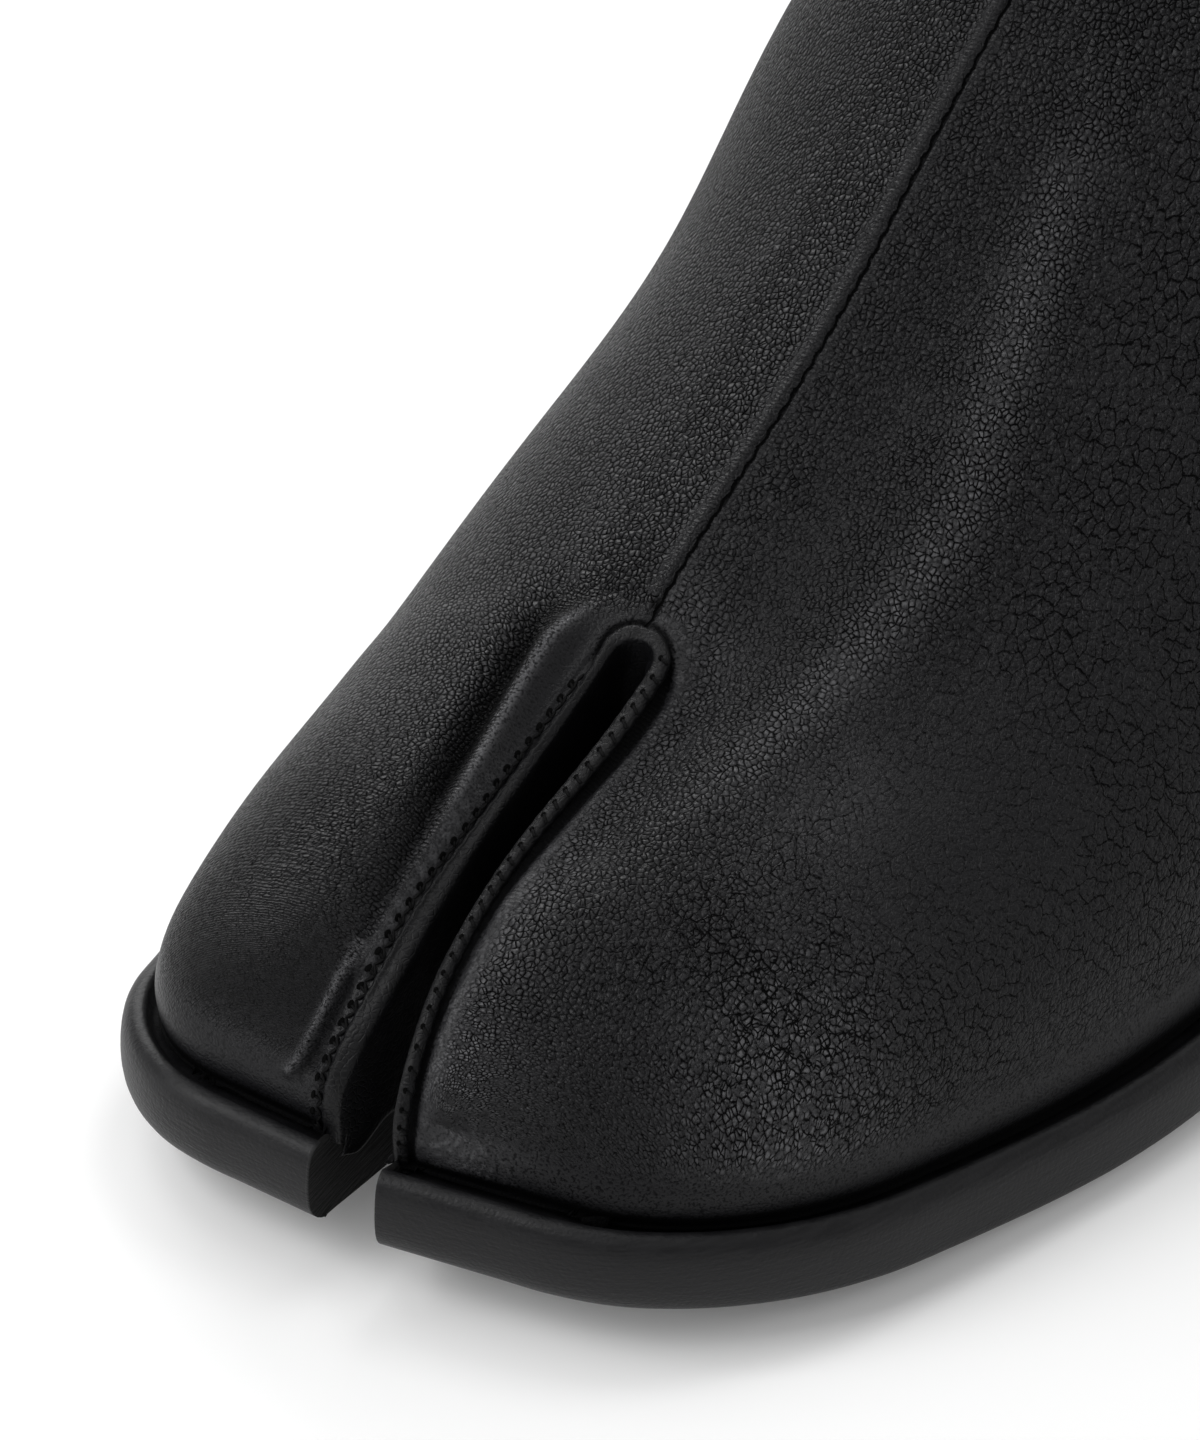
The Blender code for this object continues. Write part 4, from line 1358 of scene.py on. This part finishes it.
def threadMaterial(name, color, roughness, specular):
    material, tree, shader = newMaterial(name, color, roughness, specular)
    fibre = cloud(tree, millimetres(tree), 6.0, 2.0)
    bumpInto(tree, shader, fibre, 0.08)
    mottle(tree, shader, fibre, color, 0.6, 1.5)
    return material


edge = {
    "color": (0.0042, 0.0042, 0.005),
    "bandColor": (0.01, 0.01, 0.011),       # lighter, streaked band along the top
    "slotColor": (0.003, 0.003, 0.003),     # cut faces of the toe slot
    "roughness": 0.42,
    "specular": 0.24,
    "streak": (0.25, 0.25, 3.0),            # drawn out level round the edge
}


def edgeMaterial():
    material, tree, shader = newMaterial("edge_dressing", edge["color"], edge["roughness"], edge["specular"])
    share, cut = noted(tree, "share"), noted(tree, "slotWall")
    joint = softStep(tree, calc(tree, "ABSOLUTE", noted(tree, "jointGap")), 0.1, 0.3)
    streak = cloud(tree, millimetres(tree, edge["streak"]), 1.1)
    fine = cloud(tree, millimetres(tree), 2.4)
    band = softStep(tree, share, 0.13, 0.2, 1.0, 0.0)
    band = times(tree, band, softStep(tree, streak, 0.36, 0.62, 0.25, 1.0))
    color = blendColor(tree, band, edge["color"], edge["bandColor"])
    under = softStep(tree, share, 0.985, 1.0)
    rough = calc(tree, "MULTIPLY_ADD", calc(tree, "MAXIMUM", under, cut), 0.3, edge["roughness"])
    fill(tree, shader, {
        "Base Color": blendColor(tree, cut, color, edge["slotColor"]),
        "Roughness": calc(tree, "MULTIPLY_ADD", fine, 0.08, rough),
    })
    scratched = times(tree, streak, calc(tree, "ADD", cut, 0.25))
    height = calc(tree, "MULTIPLY_ADD", scratched, 3.0, fine)
    bumpInto(tree, shader, calc(tree, "MULTIPLY_ADD", joint, 4.0, height), 0.07)
    return material


def dress(piece, *materials):
    piece.data.materials.clear()
    for material in materials:
        piece.data.materials.append(material)


blackLeather = leatherMaterial()
liningLeather = plainLeather("lining_leather", (0.02, 0.018, 0.017), roughness=0.6, depth=0.05, scale=1.6)
gussetLeather = plainLeather("gusset_leather", (0.0036, 0.0036, 0.0042), roughness=0.45, depth=0.03,
                             scale=1.5)
blackThread = threadMaterial("black_thread", (0.003, 0.003, 0.0032), roughness=0.7, specular=0.1)
# the needle holes are near-black dots of painted shade
needleHole = threadMaterial("needle_hole", (0.0012, 0.0012, 0.0012), roughness=0.9, specular=0.05)
edgeDressing = edgeMaterial()
dress(leatherPiece, blackLeather, liningLeather)
leatherMiddles, leatherFacing = faceMiddles(leatherPiece)
leatherMiddles = toRule(leatherMiddles)
innerFaces = ~outerSide(leatherMiddles, leatherFacing)
innerFaces &= leatherMiddles[:, 2] > soleTop(leatherMiddles[:, 1]) + upper["tuckHeight"]
innerFaces &= lipGap(leatherMiddles[:, 0], leatherMiddles[:, 1]) > upper["liningStarts"]
leatherPiece.data.polygons.foreach_set("material_index", innerFaces.astype(np.int32))
dress(gussetPiece, gussetLeather)
dress(threadPiece, blackThread)
dress(holePiece, needleHole)
dress(solePiece, edgeDressing)
dress(heelPiece, edgeDressing)
note(heelPiece, "share", np.full(len(heelPiece.data.vertices), 0.5))
note(heelPiece, "jointGap", toRule(corners(heelPiece))[:, 2] - lower["heel"]["topPiece"])
note(solePiece, "jointGap", np.full(len(solePiece.data.vertices), seams["farOff"]))
dress(insolePiece, liningLeather)

finishPiece(leatherPiece, "upper_leather", "upper")
finishPiece(gussetPiece, "upper_leather")
finishPiece(threadPiece, "upper_leather")
finishPiece(holePiece, "upper_leather")
finishPiece(solePiece, "outsole", "outsole")
finishPiece(heelPiece, "heel", "heel")
finishPiece(insolePiece, "insole", "insole")
print("pieces placed")

# Stage: floor, soft light and camera
stage = {
    "floorSize": 12.0,
    "floorColor": (0.92, 0.92, 0.92),
    "floorRoughness": 0.8,
    "floorSpecular": 0.1,
    "floorGlow": 0.09,
    "world": 0.19,
    "aim": (0, -0.06, 0.03),
    # softboxes round the shoe: place, size and power
    "lights": {
        "softbox_top_back": {"place": (0.0, 0.434, 1.552), "size": (0.5, 0.5), "power": 3.2},
        "softbox_top_left": {"place": (-0.494, -0.06, 1.552), "size": (0.5, 0.5), "power": 2.0},
        "softbox_right": {"place": (1.071, -0.06, 1.219), "size": (0.8, 0.8), "power": 1.1},
        "softbox_back": {"place": (0.0, 1.011, 1.219), "size": (0.8, 0.8), "power": 2.7},
        "softbox_left": {"place": (-1.071, -0.06, 1.219), "size": (0.8, 0.8), "power": 2.2},
        "softbox_front_left": {"place": (-0.757, -0.817, 1.219), "size": (0.8, 0.8), "power": 11.2},
        "softbox_front": {"place": (0.0, -1.131, 1.219), "size": (0.8, 0.8), "power": 2.0},
        "softbox_front_right": {"place": (0.757, -0.817, 1.219), "size": (0.8, 0.8), "power": 1.2},
        "softbox_low_back_left": {"place": (-1.063, 1.003, 0.577), "size": (0.9, 0.6), "power": 9.0},
        "softbox_low_right": {"place": (1.503, -0.06, 0.577), "size": (0.9, 0.6), "power": 0.8},
        "softbox_low_back_right": {"place": (1.063, 1.003, 0.577), "size": (0.9, 0.6), "power": 2.4},
        "softbox_low_front_left": {"place": (-1.063, -1.123, 0.577), "size": (0.9, 0.6), "power": 4.5},
    },
    "eye": (0.43369, -0.85126, 0.80080),
    "turn": (49.021, -0.769, 31.115),
    "lens": 316.5,
}


def makeStage():
    bpy.ops.object.select_all(action="DESELECT")
    bpy.ops.mesh.primitive_plane_add(size=stage["floorSize"])
    floor = bpy.context.object
    floor.name = "studio_floor"
    material, tree, shader = newMaterial("pale_floor", stage["floorColor"], stage["floorRoughness"],
                                         stage["floorSpecular"])
    fill(tree, shader, {"Emission Color": (1, 1, 1), "Emission Strength": stage["floorGlow"]})
    dress(floor, material)
    world = bpy.data.worlds.new("soft_room")
    world.use_nodes = True
    background = world.node_tree.nodes["Background"]
    fill(world.node_tree, background, {"Strength": stage["world"], "Color": (1, 1, 1)})
    bpy.context.scene.world = world
    for name, light in stage["lights"].items():
        bpy.ops.object.light_add(type="AREA", location=light["place"])
        lamp = bpy.context.object
        lamp.name = name
        lamp.data.shape = "RECTANGLE"
        lamp.data.size, lamp.data.size_y = light["size"]
        lamp.data.energy = light["power"]
        lamp.rotation_euler = (Vector(stage["aim"]) - lamp.location).to_track_quat("-Z", "Y").to_euler()
    bpy.ops.object.camera_add(location=stage["eye"], rotation=[math.radians(t) for t in stage["turn"]])
    camera = bpy.context.object
    camera.data.lens = stage["lens"]
    bpy.context.scene.camera = camera
    bpy.context.scene.view_settings.view_transform = "Standard"


makeStage()
print("stage set")
